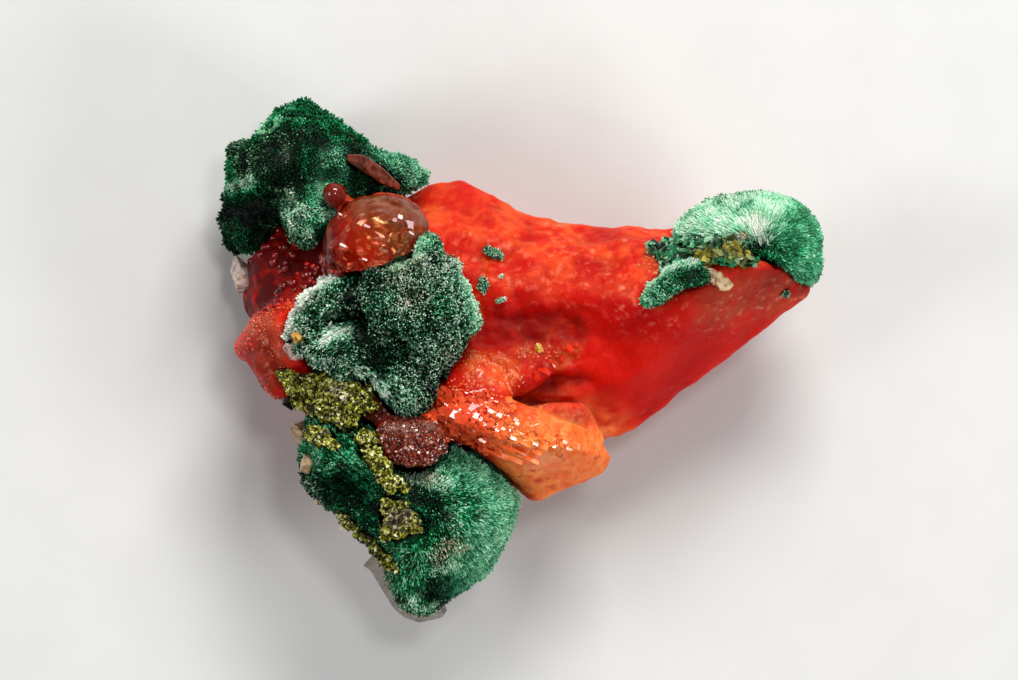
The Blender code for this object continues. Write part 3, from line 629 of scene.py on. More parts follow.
# %% Cuprite body
BODY_CELL = 0.112
KNOB_AT = (-5.1, 4.4)
KNOB_HALF = (2.15, 1.62)
KNOB_DEPTH = 1.5
KNOB_FLOOR = 6.5
BACK_TOP = 0.15
COBBLE_MM = 1.0
PEBBLE_MM = 0.42
SPUR_PATH = ((-2.4, -1.7), (-0.8, -2.4), (0.8, -2.9), (2.6, -3.4))
VALLEY = ((-1.4, 1.3), (0.3, 1.15), (2.0, 1.1))
CAVITY = ((1.0, -0.75), (2.0, -0.75))
SHELF = ((0.7, -1.62), (1.7, -1.72), (2.3, -2.0))
ARM_FACE = ((3.0, -1.6), (6.0, 0.2), (9.8, 2.0))
SOFT_FLOORS = ((VALLEY, 1.9, 5.95), (CAVITY, 1.0, 5.3))
CUPRITE_STROKES = {
    "orange": [(2.6, 1.3, 1.0, -2.9, 2.4, -3.4), (1.2, 1.4, 0.0, -3.7, 1.0, -4.6)],
    "bump": [(0.9, 0.5, -1.4, -0.2, -0.8, -0.4, -0.5, -0.5), (0.4, 0.6, 1.4, -0.1, 1.9, 0.4)],
    "brown": [
        (1.5, 0.9, 7.0, 2.0, 9.9, 2.7), (0.8, 1.3, -9.2, 0.5, -8.8, 0.5, -8.9, -0.2),
        (1.3, 0.9, -4.2, -2.7, -2.8, -2.6), (3.0, 0.25, *KNOB_AT), (0.7, 0.6, *SHELF),
        (1.0, 1.2, -6.2, -1.2, -5.0, -1.9, -3.4, -1.9), (0.9, 1.2, -9.0, 1.2, -8.6, 0.4),
        (1.0, 1.5, -9.3, 0.9, -8.9, 0.2, -8.8, -0.6),
    ],
    # The deep rows paint shade into the recess, the valley and the cavity under the ledge; the others give a
    # darker red of the stone's own.
    "deep": [
        (0.8, 0.6, -9.1, 0.9, -8.7, 0.1), (1.9, 1.3, -9.0, 4.2, -8.4, 3.2, -7.4, 4.0, -6.9, 3.2),
        (1.1, 0.6, *VALLEY), (0.8, 0.5, *CAVITY), (1.2, 1.2, -9.6, 3.0, -9.6, 1.9, -8.8, 2.6),
        (0.8, 0.35, -0.2, 0.2, 0.8, 0.1, 1.5, 0.3), (0.7, 0.6, -6.5, 6.0, -6.2, 5.4),
        (0.9, 0.7, -6.2, -1.2, -5.0, -1.9, -3.2, -1.9),
    ],
    # The frost rows on the arm's top slope, its tip and the round lobe paint soft highlights; the rest is
    # frosted surface.
    "frost": [
        (2.0, 0.4, -2.4, 3.6, 3.0, 3.0, 5.0, 2.0), (1.0, 0.45, -9.0, 1.0, -8.4, -0.4),
        (1.2, 0.5, 7.0, 1.6, 9.6, 2.4), (1.2, 0.9, -1.4, -0.2, -0.4, -0.5), (0.8, 0.45, *SHELF),
        (0.8, 0.5, 0.0, 0.1, 1.8, 0.3), (1.0, 0.6, -6.2, -1.2, -5.0, -1.9, -3.4, -1.9),
    ],
    "tan": [(1.7, 1.7, -3.7, 4.3, -3.9, 5.0, -4.8, 5.5)],
    "gloss": [
        (1.6, 0.8, *SPUR_PATH[:3]), (0.8, 0.2, -1.4, -0.5, -0.5, -0.7), (0.8, 0.3, -9.9, 0.4, -8.6, 2.0),
        (3.0, 0.2, *KNOB_AT),
    ],
}


def knob_depth(points):
    """How deep the clear lens of the knob reaches below each point."""
    off = (points[:, :2] - KNOB_AT) / KNOB_HALF
    inside = kept(1 - (off**2).sum(1))
    return KNOB_DEPTH * np.sqrt(inside) * kept((points[:, 2] - KNOB_FLOOR) / 0.5)


def cuprite_skin_shape():
    skin = fine_skin("cuprite", BODY_CELL)
    z = skin.points[:, 2]
    spur = kept(stroke(skin.points, SPUR_PATH, 2.3) * 3) * kept((z - 3.4) / 0.8)
    back = z < BACK_TOP
    valley = stroke(skin.points, VALLEY, 1.8) * (1 - spur)
    skin.relax(12, np.where(back, 0.0, 0.5 - 0.42 * spur))
    for path, reach, floor in SOFT_FLOORS:
        share = kept(stroke(skin.points, path, reach) * 2.5) * (z > 3.5)
        skin.points[:, 2] += np.maximum(floor - z, 0) * share
    skin.relax(120, kept(valley * 1.5) * 0.5)
    start, normals = skin.points.copy(), skin.normals()
    face = stroke(start, ARM_FACE, 2.4)
    rough = kept(1 - 0.8 * face - 0.9 * spur)
    cobbles = 0.7 * pebbles(start, COBBLE_MM, 1) + 0.3 * pebbles(start, PEBBLE_MM, 2)
    relief = rough * (0.3 * (cobbles - 0.62) + 0.08 * lumps(start, 1.4, 3)) + 0.03 * lumps(start, 0.4, 4, 4)
    relief += 0.1 * lumps(start, 0.5, 12) * (knob_depth(start) > 0)
    skin.points += normals * np.where(back, 0, relief)[:, None]
    skin.relax(2, np.where(back, 0.0, 0.5 * rough))
    skin.points[:, 2] = np.maximum(skin.points[:, 2], 0.0)
    # Painted shade: this trait is high in the gaps between the cobbles, where shade falls.
    skin.traits["crease"] = kept((0.66 - cobbles) * 3.0) * rough
    return skin


def cuprite_traits(skin):
    points, normals = skin.points, skin.normals()
    z = points[:, 2]
    # Painted light: the lit trait is high on slopes that face the upper panel, and weaker at the far left.
    slope = kept((normals[:, 1] * 0.75 + normals[:, 2] * 0.45) * 1.6 - 0.35)
    slope = slope * kept((z - 1) / 2)
    spur = (stroke(points, SPUR_PATH, 2.4) > 0.05) & (z > 3.4) & (points[:, 1] < 0.4 - 0.25 * points[:, 0])
    left = kept((-6.8 - points[:, 0]) * 2)
    skin.traits["lit"] = slope * (1 - spur) * (0.8 + 0.4 * lumps(points, 1.6, 5)) * (1 - 0.75 * left)
    behind = stroke(points, SHELF, 0.8) * kept((6.8 - z) / 0.3)
    high = kept((z - 1.4 + 0.8 * lumps(points, 0.9, 15)) / 2.6)
    sunlit = painted(points, CUPRITE_STROKES["orange"], 8) * high * kept((-0.7 - points[:, 1]) / 0.6)
    sunlit = sunlit * (1 - 0.4 * kept(behind * 2))
    bump = painted(points, CUPRITE_STROKES["bump"], 14) * (z > 4.5)
    skin.traits["orange"] = kept(sunlit + bump)
    for trait, seed in (("brown", 6), ("deep", 7), ("frost", 9), ("gloss", 10), ("tan", 13)):
        skin.traits[trait] = painted(points, CUPRITE_STROKES[trait], seed)
    skin.traits["brown"] = skin.traits["brown"] * np.where(stroke(points, SHELF, 0.8) > 0.02, z < 6.8, 1.0)
    skin.traits["tan"] = skin.traits["tan"] * kept(knob_depth(points) * 3)
    skin.traits["tint"] = np.full(len(points), 0.5)
    return skin


cuprite_form = cuprite_traits(cuprite_skin_shape())
cuprite_tree = tree_of(cuprite_form)
print("cuprite form:", len(cuprite_form.points), "points")

# %% [markdown]
# The knob is a clear dome. We cut the lens out of the skin: its top is the skin itself, its underside is the
# same faces turned over and let down, and the two share their rim, so the lens is closed. The body takes the
# underside's place, a hair higher, so that no air gap shows as a silver edge.

# %% Cut the lens
LENS_OVERLAP = 0.04


def cut_lens(skin):
    depth = knob_depth(skin.points)
    inner = depth[skin.triangles].min(1) > 0
    top = skin.triangles[inner]
    pairs, uses = np.unique(np.sort(edges_of(top), axis=1), axis=0, return_counts=True)
    rim = np.unique(pairs[uses == 1])
    inside = np.setdiff1d(np.unique(top), rim)
    lowered = skin.points.copy()
    lowered[inside, 2] -= depth[inside]
    copy_of = np.arange(len(skin.points))
    copy_of[inside] = len(skin.points) + np.arange(len(inside))
    points = np.concatenate([skin.points, lowered[inside]])
    faces = np.concatenate([top, copy_of[top][:, ::-1]])
    used, flat = np.unique(faces, return_inverse=True)
    lens = Shape(points[used], flat.reshape(-1, 3), False)
    skin.points[inside, 2] -= np.maximum(depth[inside] - LENS_OVERLAP, 0)
    return lens


knob_lens = cut_lens(cuprite_form)
piece("cuprite_body", cuprite_form, cuprite_skin, "cuprite", "cuprite")
print("lens:", len(knob_lens.triangles), "triangles")

# %% [markdown]
# Real clear crystal is see-through by transmission, with a refractive index and an absorption that colours
# longer paths more. Inside it, healed cracks catch the light as orange and yellow sparks. We scatter thin
# plates between the top and the underside of the lens, and set a few flat faces into its top for reflections.

# %% Clear knob


def clear_finish():
    gleam = srgb(150, 72, 40)
    clear = Finish(
        "clear_cuprite", Transmission_Weight=1.0, IOR=1.45, Specular_IOR_Level=0.1, Specular_Tint=gleam
    )
    mist = clear.step(clear.grain(0.7, 4.0), 0.45, 0.75)
    tone = clear.blend(mist, (255, 214, 178), (252, 186, 140))
    flaws = clear.bump(clear.cells(0.6) + clear.grain(0.3, 3.0) * 0.6, 0.4, 0.06)
    depths = clear.node("ShaderNodeVolumeAbsorption", None, {"Color": srgb(255, 200, 150), "Density": 110.0})
    clear.feed(clear.tree.nodes["Material Output"].inputs["Volume"], depths)
    browned = clear.blend(clear.trait("brown"), tone, (226, 206, 178))
    return clear.wear(Base_Color=browned, Roughness=0.16 + 0.12 * mist, Normal=flaws)


def flaw_finish():
    flaw = Finish("crystal_flaw", IOR=1.6, Coat_Weight=0.6, Coat_Roughness=0.05)
    tone = flaw.ramp(
        flaw.trait("tint"), (0.0, 160, 44, 20), (0.55, 214, 96, 50), (0.82, 250, 170, 100),
        (1.0, 255, 226, 180),
    )
    rough = 0.15 + 0.2 * flaw.grain(0.2)
    return flaw.wear(Base_Color=tone, Roughness=rough, Metallic=0.35 * flaw.trait("tint"))


clear_skin = clear_finish()
flaw_skin = flaw_finish()
knob_lens.traits["brown"] = painted(knob_lens.points, [(1.5, 1.3, -3.8, 4.2, -4.0, 5.2, -4.8, 5.6)], 303)
piece("cuprite_knob", knob_lens, clear_skin, "cuprite", "cuprite")

# %% Sparks in the knob
SPARKS = 190
SPARK_FOCUS = (-4.5, 4.2)


def knob_sparks():
    draw = np.random.default_rng(301)
    angle = draw.uniform(0, TURN, SPARKS)
    reach = np.sqrt(draw.random(SPARKS)) * 0.82
    focus = draw.random(SPARKS) < 0.45
    x = KNOB_AT[0] + KNOB_HALF[0] * reach * np.cos(angle)
    y = KNOB_AT[1] + KNOB_HALF[1] * reach * np.sin(angle)
    x = np.where(focus, draw.normal(SPARK_FOCUS[0], 0.45, SPARKS), x)
    y = np.where(focus, draw.normal(SPARK_FOCUS[1], 0.3, SPARKS), y)
    low, _ = landed(tree_of(cuprite_form), zip(x, y))
    room_above = knob_depth(np.column_stack([x, y, np.full(SPARKS, 9.0)]))
    low[:, 2] += room_above * draw.uniform(0.05, 0.6, SPARKS)
    keep = room_above > 0.5
    ways = leaning(draw, spark_ways(low), 0.35)
    widths = draw.uniform(0.03, 0.11, SPARKS)
    lengths = widths * draw.uniform(1.0, 3.2, SPARKS)
    return crystals(low[keep], ways[keep], widths[keep], lengths[keep], 0.02, 302, top=0.9)


piece("knob_sparks", knob_sparks(), flaw_skin, "cuprite", "cuprite")

# %% [markdown]
# ## Growth steps and glints
# The spur's upper left is a staircase of small crystal faces. On the real stone they are parallel, so many of
# them flash at once. We lay plates along the crystal's own direction, tilt each by a few degrees, and place
# the largest ones one by one, because the eye remembers where they are. A row is x, y, length and width.

# %% Plates on the spur
STEP_TOWARD = np.array([[0.9, -0.42, 0.0]])
BIG_FACES = (
    (-2.2, -1.95, 0.42, 0.3), (-2.42, -2.66, 0.36, 0.3), (-1.66, -1.72, 0.26, 0.4),
    (-1.55, -2.0, 0.16, 0.34), (-1.27, -2.8, 0.3, 0.22), (-0.12, -2.12, 0.22, 0.16), (1.6, -2.9, 0.2, 0.16),
    (1.22, -3.04, 0.18, 0.14), (-2.5, -1.62, 0.4, 0.07), (-0.7, -1.95, 0.22, 0.18),
    (-0.2, -2.75, 0.24, 0.12), (0.55, -2.95, 0.26, 0.12),
)
TERRACES = (
    (-0.86, -3.28, 0.9, 0.13), (-0.25, -3.46, 0.9, 0.2), (0.3, -3.44, 0.9, 0.16), (0.62, -3.2, 0.4, 0.24),
    (-0.1, -3.16, 1.0, 0.1), (1.05, -2.75, 0.4, 0.24), (0.1, -2.9, 0.8, 0.12), (-0.5, -3.05, 0.8, 0.1),
)
KNOB_FACES = (
    (-4.38, 4.94, 0.18, 0.16), (-4.2, 5.06, 0.2, 0.16), (-3.88, 4.79, 0.34, 0.27), (-3.84, 4.5, 0.3, 0.1),
    (-5.36, 4.71, 0.26, 0.1), (-6.2, 4.04, 0.3, 0.09), (-6.29, 5.14, 0.22, 0.06), (-5.43, 3.54, 0.22, 0.07),
)


def laid_plates(rows, tilt, seed, lift=0.02, tree=cuprite_tree):
    spots = np.array(rows)
    draw = np.random.default_rng(seed)
    places, normals = landed(tree, spots[:, :2])
    ways = leaning(draw, spark_ways(places), tilt)
    places = places + normals * lift
    lengths, widths = spots[:, 2:].T
    return crystals(places, ways, widths, lengths, 0.07, seed, depth=1.5, top=0.9, toward=STEP_TOWARD)


PLATE_SIZES = ((0.46, 0.3, 5), (0.26, 0.7, 5), (0.14, 0.8, 4))
PLATE_ZONES = (
    (1.25, 1.2, -2.5, -1.9, -1.6, -2.0, -0.9, -2.3), (0.6, 0.8, -0.9, -2.4, 0.6, -2.7, 1.7, -2.9),
)


def spur_plates():
    """Broken growth steps of three sizes, most of them nearly flush with the face."""
    draw = np.random.default_rng(311)
    made = []
    for number, (size, share, sides) in enumerate(PLATE_SIZES):
        places, normals = scatter(cuprite_form, size * 0.75, 312 + number)
        zone = painted(places, PLATE_ZONES, 315)
        keep = (draw.random(len(places)) < zone * share) & (places[:, 2] > 6.0) & (normals[:, 2] > 0.1)
        places, normals = places[keep], normals[keep]
        sizes = size * draw.uniform(0.4, 1.3, len(places))
        ways = leaning(draw, 0.55 * normals + 0.45 * spark_ways(places), 0.17)
        slim = draw.uniform(0.9, 2.4, len(places))
        widths = sizes / slim
        made.append(crystals(places, ways, widths, sizes, 0.05, 317 + number, 1.5, sides, toward=STEP_TOWARD))
    return joined(made)


small_plates = spur_plates()
big_plates = laid_plates(BIG_FACES, 0.004, 321)
terrace_plates = laid_plates(TERRACES, 0.09, 322, 0.03)
# Frost patches and a high tint make the terraces paler, partly as painted highlight.
terrace_plates.traits["frost"] = 1.0
terrace_plates.traits["tint"] = np.full(len(terrace_plates.points), 0.95)
knob_plates = laid_plates(KNOB_FACES, 0.004, 323, 0.0, tree_of(knob_lens))

# %% Blocks on the ledge
LEDGE_CHUNKS = (
    (2.0, 0.55, 0.42), (1.78, 0.3, 0.5), (1.95, 0.2, 0.3), (1.5, 0.02, 0.46), (1.25, -0.2, 0.36),
    (1.62, 0.42, 0.3), (0.95, -0.42, 0.42), (0.6, -0.62, 0.34), (0.25, -0.82, 0.36), (1.1, -0.05, 0.26),
    (0.75, -0.35, 0.24),
)


def ledge_chunks():
    """Broken blocks along the ledge's free edge."""
    spots = np.array(LEDGE_CHUNKS)
    draw = np.random.default_rng(325)
    places, normals = landed(cuprite_tree, spots[:, :2])
    ways = leaning(draw, normals, 0.7)
    sizes = spots[:, 2] * 0.62
    return crystals(places - normals * 0.06, ways, sizes * 0.8, sizes * 1.5, sizes * 0.6, 326, top=0.6)


chunks = ledge_chunks()
plates = joined([small_plates, big_plates, terrace_plates, knob_plates, chunks])
plates.traits["gloss"] = 0.2 + 0.5 * plates.traits["tint"]
on_spur = plates.points[:, 1] < 2
plates.traits["orange"] = np.clip(0.35 + (plates.points[:, 0] + 1.2) / 2.0, 0.3, 1.0) * on_spur
plates.traits["orange"][-len(chunks.points):] = 0.1
plates.traits["gloss"][-len(chunks.points):] = 0.5
plates.traits["brown"] = 1.0 - on_spur
piece("crystal_faces", plates, cuprite_faces, "cuprite", "cuprite")

# %% [markdown]
# Beads of cuprite sit on the round lobe at the spur's root, on the left lobe's rim and in the recess. They
# are round, so they are not cut like the crystals: a few smooth rings each, sunk to their middle. A row is a
# trait, the reach of a stroke, the beads' width, how many of the places they take, and the stroke's path.

# %% Beads
DROP = ((-0.6, 0.8), (0.1, 1.0), (0.6, 0.78), (0.92, 0.36))
# Painted light and shade: the lit rows brighten the rim beads, the crease and deep rows darken the beads in
# the recess, and the frost rows give pale spots that stand partly for glints.
BEAD_ZONES = (
    ("frost", 0.9, 0.15, 0.45, -1.6, -0.4, -0.9, -0.3, -0.3, -0.5),
    ("frost", 0.6, 0.13, 0.6, -2.2, -1.0, -1.2, -1.2),
    ("brown", 0.8, 0.1, 0.2, -9.0, 1.2, -8.6, 0.4, -8.4, -0.3),
    ("crease", 0.9, 0.24, 0.45, -7.7, 3.3, -7.0, 2.7),
    ("lit", 0.5, 0.1, 0.45, -10.0, 0.2, -9.5, 1.1, -8.7, 1.9, -7.9, 2.1),
    ("lit", 0.5, 0.12, 0.4, -9.2, -1.0, -8.4, -2.0),
    ("deep", 1.6, 0.36, 0.5, -8.8, 4.2, -8.0, 3.2, -7.0, 2.9),
    ("frost", 0.5, 0.12, 0.4, 0.2, 0.3, 1.2, 0.2),
    ("frost", 0.6, 0.15, 0.5, 4.6, 3.4, 5.4, 3.0),
)


def cuprite_beads():
    draw = np.random.default_rng(331)
    made = []
    for number, (trait, reach, size, share, *path) in enumerate(BEAD_ZONES):
        places, normals = scatter(cuprite_form, size * 0.9, 340 + number)
        chance = stroke(places, path, reach) * share
        keep = (draw.random(len(places)) < chance) & (places[:, 2] > 3.0) & (normals[:, 2] > -0.2)
        places, normals = places[keep], normals[keep]
        sizes = size * draw.uniform(0.5, 1.15, len(places))
        ways = leaning(draw, normals, 0.2)
        tints = np.random.default_rng(350 + number).random(len(places))
        sizes = sizes[:, None]
        zone = turned(places - normals * sizes * 0.14, ways, sizes / 2, DROP, 8 if size > 0.2 else 5, tints)
        zone.traits[trait] = 0.8
        zone.traits["orange"] = 0.5 if trait == "frost" else 0.0
        zone.traits["gloss"] = 0.8
        made.append(zone)
    return joined(made)


piece("cuprite_beads", cuprite_beads(), cuprite_faces, "cuprite", "cuprite")

# %% [markdown]
# One larger bead stands on a short neck beside the knob. It is a drop of darker, browner cuprite. We turn a
# profile about its own axis, which leans the way the neck leans.

# %% Dark bead
BEAD_TOP = np.array([-6.62, 6.0])
BEAD_FOOT = np.array([-6.2, 5.35])
BEAD_PROFILE = (
    (-0.75, 0.16), (-0.45, 0.22), (-0.2, 0.36), (0.05, 0.44), (0.3, 0.38), (0.46, 0.22), (0.53, 0.08),
)


def dark_bead():
    spots, _ = landed(tree_of(cuprite_form), [BEAD_TOP * 0.72 + BEAD_FOOT * 0.28])
    axis = unit(np.array([[*(BEAD_TOP - BEAD_FOOT), 0.25]]))
    heart = spots - [0, 0, 0.22]
    bead = turned(heart, axis, 1.0, BEAD_PROFILE, 20, [0.15], deep=0.62, brown=1.0, gloss=0.6)
    bead.points += bead.normals() * (0.03 * lumps(bead.points, 0.3, 371))[:, None]
    return bead


piece("dark_bead", dark_bead(), cuprite_faces, "cuprite", "cuprite")

# %% [markdown]
# ## Malachite velvet
# Each cluster is a ball of needles that grew outward side by side. Hair particles would be the quick way, but
# here every needle is plain mesh: a closed three-sided prism of eight triangles.
# Each needle carries its own tint, and a trait that is 0 at its root and 1 at its tip. The finish darkens
# each needle towards its root as painted shade, so pale tips stand over dark gaps, which makes velvet read as
# velvet.

# %% Needles


def needles(tips, ways, lengths, widths, seed):
    """Closed three-sided needles with slanting ends."""
    draw = np.random.default_rng(seed)
    count = len(tips)
    first, second = across(ways)
    turn = draw.uniform(0, TURN, count)
    slant = draw.uniform(-0.8, 0.3, (count, 3))
    rings = []
    for level, swell in ((0, 1.15), (1, 1.0)):
        for k in range(3):
            angle = (turn + k * TURN / 3)[:, None]
            side = (widths / 2 * swell)[:, None] * (first * np.cos(angle) + second * np.sin(angle))
            drop = slant[:, k] * widths if level else -lengths
            rings.append(tips + side + ways * drop[:, None])
    return prisms(rings, 3, False, draw.random(count), tip=np.tile([0.0] * 3 + [1.0] * 3, count))


print("needle maker ready")

# %% Malachite finish


def malachite_finish():
    velvet = Finish(
        "malachite", Sheen_Weight=0.1, Sheen_Roughness=0.35, Sheen_Tint=srgb(110, 230, 165),
        Specular_IOR_Level=0.2, Coat_Roughness=0.2,
    )
    tip, tint, pale, mint = (velvet.trait(name) for name in ("tip", "tint", "pale", "mint"))
    tufts = velvet.step(velvet.grain(0.11, 2.0), 0.43, 0.59) - 0.5
    mottle = velvet.step(velvet.grain(0.5, 3.0), 0.35, 0.66)
    speckle = (tint - 0.5) * 0.42 + tufts * 0.42
    tone = speckle * velvet.trait("contrast") + mottle * 0.25 + pale * 0.5 + 0.29
    tone = (tone - velvet.trait("dark") * 0.5).kept()
    # The palest stops stand partly for glints on the needle ends, as painted highlight.
    speckled = velvet.ramp(
        tone, (0.0, 2, 12, 7), (0.34, 6, 48, 27), (0.5, 38, 112, 72), (0.64, 160, 216, 170),
        (0.82, 246, 255, 238),
    )
    vivid = velvet.ramp(
        tone, (0.0, 0, 32, 14), (0.3, 0, 106, 54), (0.5, 10, 172, 104), (0.7, 92, 228, 166),
        (0.92, 228, 255, 236),
    )
    silky = velvet.ramp(
        tone, (0.0, 34, 120, 84), (0.35, 92, 190, 142), (0.62, 154, 228, 184), (1.0, 218, 250, 226),
    )
    green = velvet.blend(velvet.trait("emerald"), speckled, vivid)
    soft = velvet.blend(mint, green, silky)
    warm = velvet.blend(velvet.trait("rosy") * velvet.step(tone, 0.35, 0.7), soft, (214, 186, 160))
    white = velvet.blend(velvet.step(pale, 0.9, 1.3), warm, (246, 252, 240))
    # Painted shade: each needle grows darker towards its root, for the shade between needles; pale and mint
    # needles less so.
    shown = velvet.shade(white, 0.07 + 0.93 * (tip**1.8 + pale * 0.35 + mint * 0.3).kept())
    coat = velvet.step(tint, 0.82, 0.92)
    return velvet.wear(Base_Color=shown, Roughness=0.6 - 0.25 * tint, Coat_Weight=coat)


velvet = malachite_finish()
print("malachite finish:", len(velvet.node_tree.nodes), "nodes")

# %% [markdown]
# One function makes every cluster from a table of numbers: how coarse its nodules are, how long, wide and
# close its needles, and the heart that they spread from. Colours and dents are strokes as of a brush, seen
# from above. Many dark rows follow the dents and paint the shade that falls in them. A row holds a stroke's
# reach, its strength, and then the x and y of its path. A fan's row holds the point that its needles lie
# away from, its reach, how flat they lie, and its path.

# %% Clusters
NEEDLE_TRAITS = ("emerald", "pale", "rosy", "mint", "dark")
UNDERSIDE_SHARE = 0.3
OUTWARD_PULL = 0.45
FAN_STRETCH = 1.1
COVER_REACH = 0.24
TUFT_MM = 0.17
TUFT_HEIGHT = 0.07


def cluster_skin(node, look, seed):
    """The skin that the needles' tips make: nodules, and dents where strokes say so."""
    skin = fine_skin(node, look.get("cell", 0.13)).relax(5)
    out = skin.normals()
    bumps = look["bump"] * (pebbles(skin.points, look["nodule"], seed) - 0.75)
    bumps += look["bump"] * 0.5 * (pebbles(skin.points, look["nodule"] * 0.45, seed + 3) - 0.75)
    dents = np.zeros(len(skin.points))
    for reach, depth, *path in look.get("dents", ()):
        dents = np.maximum(dents, depth * stroke(skin.points, path, reach) * kept(out[:, 2] + 0.4))
    skin.points += out * (bumps - dents + 0.05 * lumps(skin.points, 0.5, seed + 1))[:, None]
    return skin


def cluster(name, node, look, seed):
    """A malachite cluster: a core painted dark as shade, and needles whose tips form its skin."""
    skin = cluster_skin(node, look, seed)
    # Painted shade: the core carries tip 0, so the finish makes it nearly black.
    core = skin.sunk(look["core"], tip=0.0, tint=0.2).relax(2)
    places, normals = scatter(skin, look["spacing"], seed)
    draw = np.random.default_rng(seed + 5)
    chance = UNDERSIDE_SHARE + (1 - UNDERSIDE_SHARE) * kept(normals[:, 2] * 2 + 1)
    seen = draw.random(len(places)) < chance
    free = uncovered(places, normals, {node}, COVER_REACH) & (places[:, 2] > 0.1) & seen
    places, normals = places[free], normals[free]
    spray = look.get("spray", 0.12)
    ways = normals + OUTWARD_PULL * unit(places - look["heart"]) + [0, 0, look.get("upright", 0.0)]
    ways = unit(ways + spray * draw.normal(size=places.shape))
    lengths = look["length"] * draw.uniform(0.8, 1.25, len(places))
    for focus, reach, lie, *path in look.get("fans", ()):
        share = lie * stroke(places, path, reach)[:, None]
        away = places - focus
        away -= normals * (away * normals).sum(1, keepdims=True)
        ways = unit(ways * (1 - share) + share * (unit(away) + 0.32 * normals))
        lengths = lengths * (1 + FAN_STRETCH * share[:, 0])
        places = places + share * (ways * 0.35 * lengths[:, None] - normals * 0.07)
    widths = look["width"] * draw.uniform(0.7, 1.25, len(places))
    tufts = TUFT_HEIGHT * lumps(places, TUFT_MM, seed + 7, 2) + draw.uniform(-0.08, 0.03, len(places))
    places = places + normals * tufts[:, None]
    # Painted shade: the creases between nodules join the dark trait.
    creases = look.get("creases", 0.5) * kept((0.62 - pebbles(places, look["nodule"], seed)) * 2.5)
    fur = needles(places, ways, lengths, widths, seed + 9)
    for number, trait in enumerate(NEEDLE_TRAITS):
        strokes = look.get(trait, ())
        shown = painted(places, strokes, seed + 11 + number)
        fur.traits[trait] = spread_trait(fur, np.maximum(shown, creases) if trait == "dark" else shown)
        core.traits[trait] = 0.5 * painted(core.points, strokes, seed + 11 + number)
    print(name, len(places), "needles")
    both = joined([core, fur])
    both.traits["contrast"] = np.full(len(both.points), look.get("contrast", 1.0))
    piece(name, both, velvet, "malachite", node)


print("cluster maker ready")

# %% Front cluster
FRONT = {
    "bump": 0.5, "nodule": 0.9, "core": 0.22, "spacing": 0.066, "length": 0.34, "width": 0.052,
    "heart": (-4.7, 1.2, 6.5), "upright": 0.9, "contrast": 1.8,
    "dents": [
        (0.55, 1.1, -6.5, 1.4, -5.7, 1.4), (0.5, 0.5, -5.9, 3.1, -6.0, 2.2, -5.9, 1.5),
        (0.55, 0.5, -5.9, 1.3, -5.5, 0.5, -4.9, 0.1, -4.1, 0.3),
    ],
    "fans": [
        ((-6.1, 0.4, 7.8), 1.0, 1.0, -5.7, -0.6, -4.6, -1.2),
        ((-4.2, 0.0, 7.5), 0.7, 0.5, -4.0, -1.0, -4.2, -1.8),
        ((-5.6, 1.45, 8.6), 0.8, 0.8, -6.3, 1.2, -6.8, 0.9),
    ],
    # Partly painted light: the strongest pale row is the white fringe on the left edge, whiter for the light
    # from the left.
    "pale": [
        (0.6, 2.3, -8.4, 0.9, -8.3, 1.6, -7.8, 2.35, -7.2, 2.85, -6.6, 3.15),
        (0.45, 0.85, -4.6, 3.4, -3.7, 3.6, -3.3, 4.2),
        (0.25, 1.0, -2.2, 3.6, -1.8, 2.7, -1.5, 1.9, -1.4, 1.2),
        (0.4, 1.2, -7.0, 0.6, -6.6, 0.95, -6.1, 1.0), (0.6, 0.7, -7.6, 2.2, -6.6, 1.7),
        (0.8, 0.65, -4.5, 2.3, -3.9, 1.8), (0.6, 0.5, -3.7, 2.9, -2.9, 3.3),
        (0.6, 1.1, -5.6, -0.7, -4.7, -1.2), (0.7, 0.4, -4.4, -0.8, -3.9, -1.5),
        (0.9, 0.55, -8.0, 1.0, -7.4, 0.0), (0.7, 0.35, -6.4, 0.2, -5.8, 0.0),
        (0.7, 0.4, -3.0, 0.7, -2.4, 0.3), (0.7, 0.4, -2.7, 3.2, -2.2, 2.4),
    ],
    "emerald": [
        (3.2, 0.55, -6.2, 0.8, -4.4, 1.0, -3.0, 1.6), (1.2, 0.6, -4.4, -0.6, -4.0, -1.4),
        (0.6, 0.9, -5.1, 1.9, -4.6, 2.2), (0.6, 1.1, -2.8, 2.0, -2.6, 1.8),
        (0.8, 1.1, -6.9, 2.6, -6.2, 3.0), (0.6, 0.9, -3.4, 4.3, -2.8, 4.0),
        (0.9, 0.8, -4.5, -0.6, -4.9, -1.4), (0.7, 0.5, -2.4, 0.9, -1.7, 1.4),
        (0.6, 0.6, -7.0, 1.6, -6.3, 1.9),
    ],
    "mint": [
        (0.6, 0.9, -1.9, 2.9, -1.6, 2.0, -1.5, 1.0), (0.5, 0.3, -4.8, -0.9),
        (0.5, 0.8, -4.4, 3.4, -3.6, 3.7, -3.2, 4.4), (0.5, 0.7, -7.0, 0.7, -6.1, 1.0),
    ],
    "rosy": [(0.9, 0.6, -3.7, 2.1), (0.9, 0.4, -4.3, 3.1, -3.6, 3.3), (0.6, 0.4, -4.9, 0.9)],
    "dark": [
        (0.5, 1.2, -6.4, 1.45, -5.6, 1.45), (0.7, 0.8, -5.0, 0.0, -4.2, 0.2),
        (0.4, 0.6, -5.9, 3.0, -6.0, 2.2), (0.9, 0.55, -5.8, 2.9, -4.9, 2.8),
        (0.8, 0.35, -5.2, 1.0, -4.4, 1.2), (0.55, 0.7, -6.0, 0.4, -5.2, -0.1, -4.4, 0.4),
        (0.4, 0.4, -3.2, 1.2, -2.8, 0.6),
    ],
}
cluster("malachite_front_velvet", "malachite_front", FRONT, 21)

# %% [markdown]
# The lower cluster is a fan. Its needles lie almost flat on the left, stand up as velvet on the right, and
# end in a pale silky rim. Only the numbers differ from the front cluster: where it is pale, where it is
# emerald, and from where its needles spread.

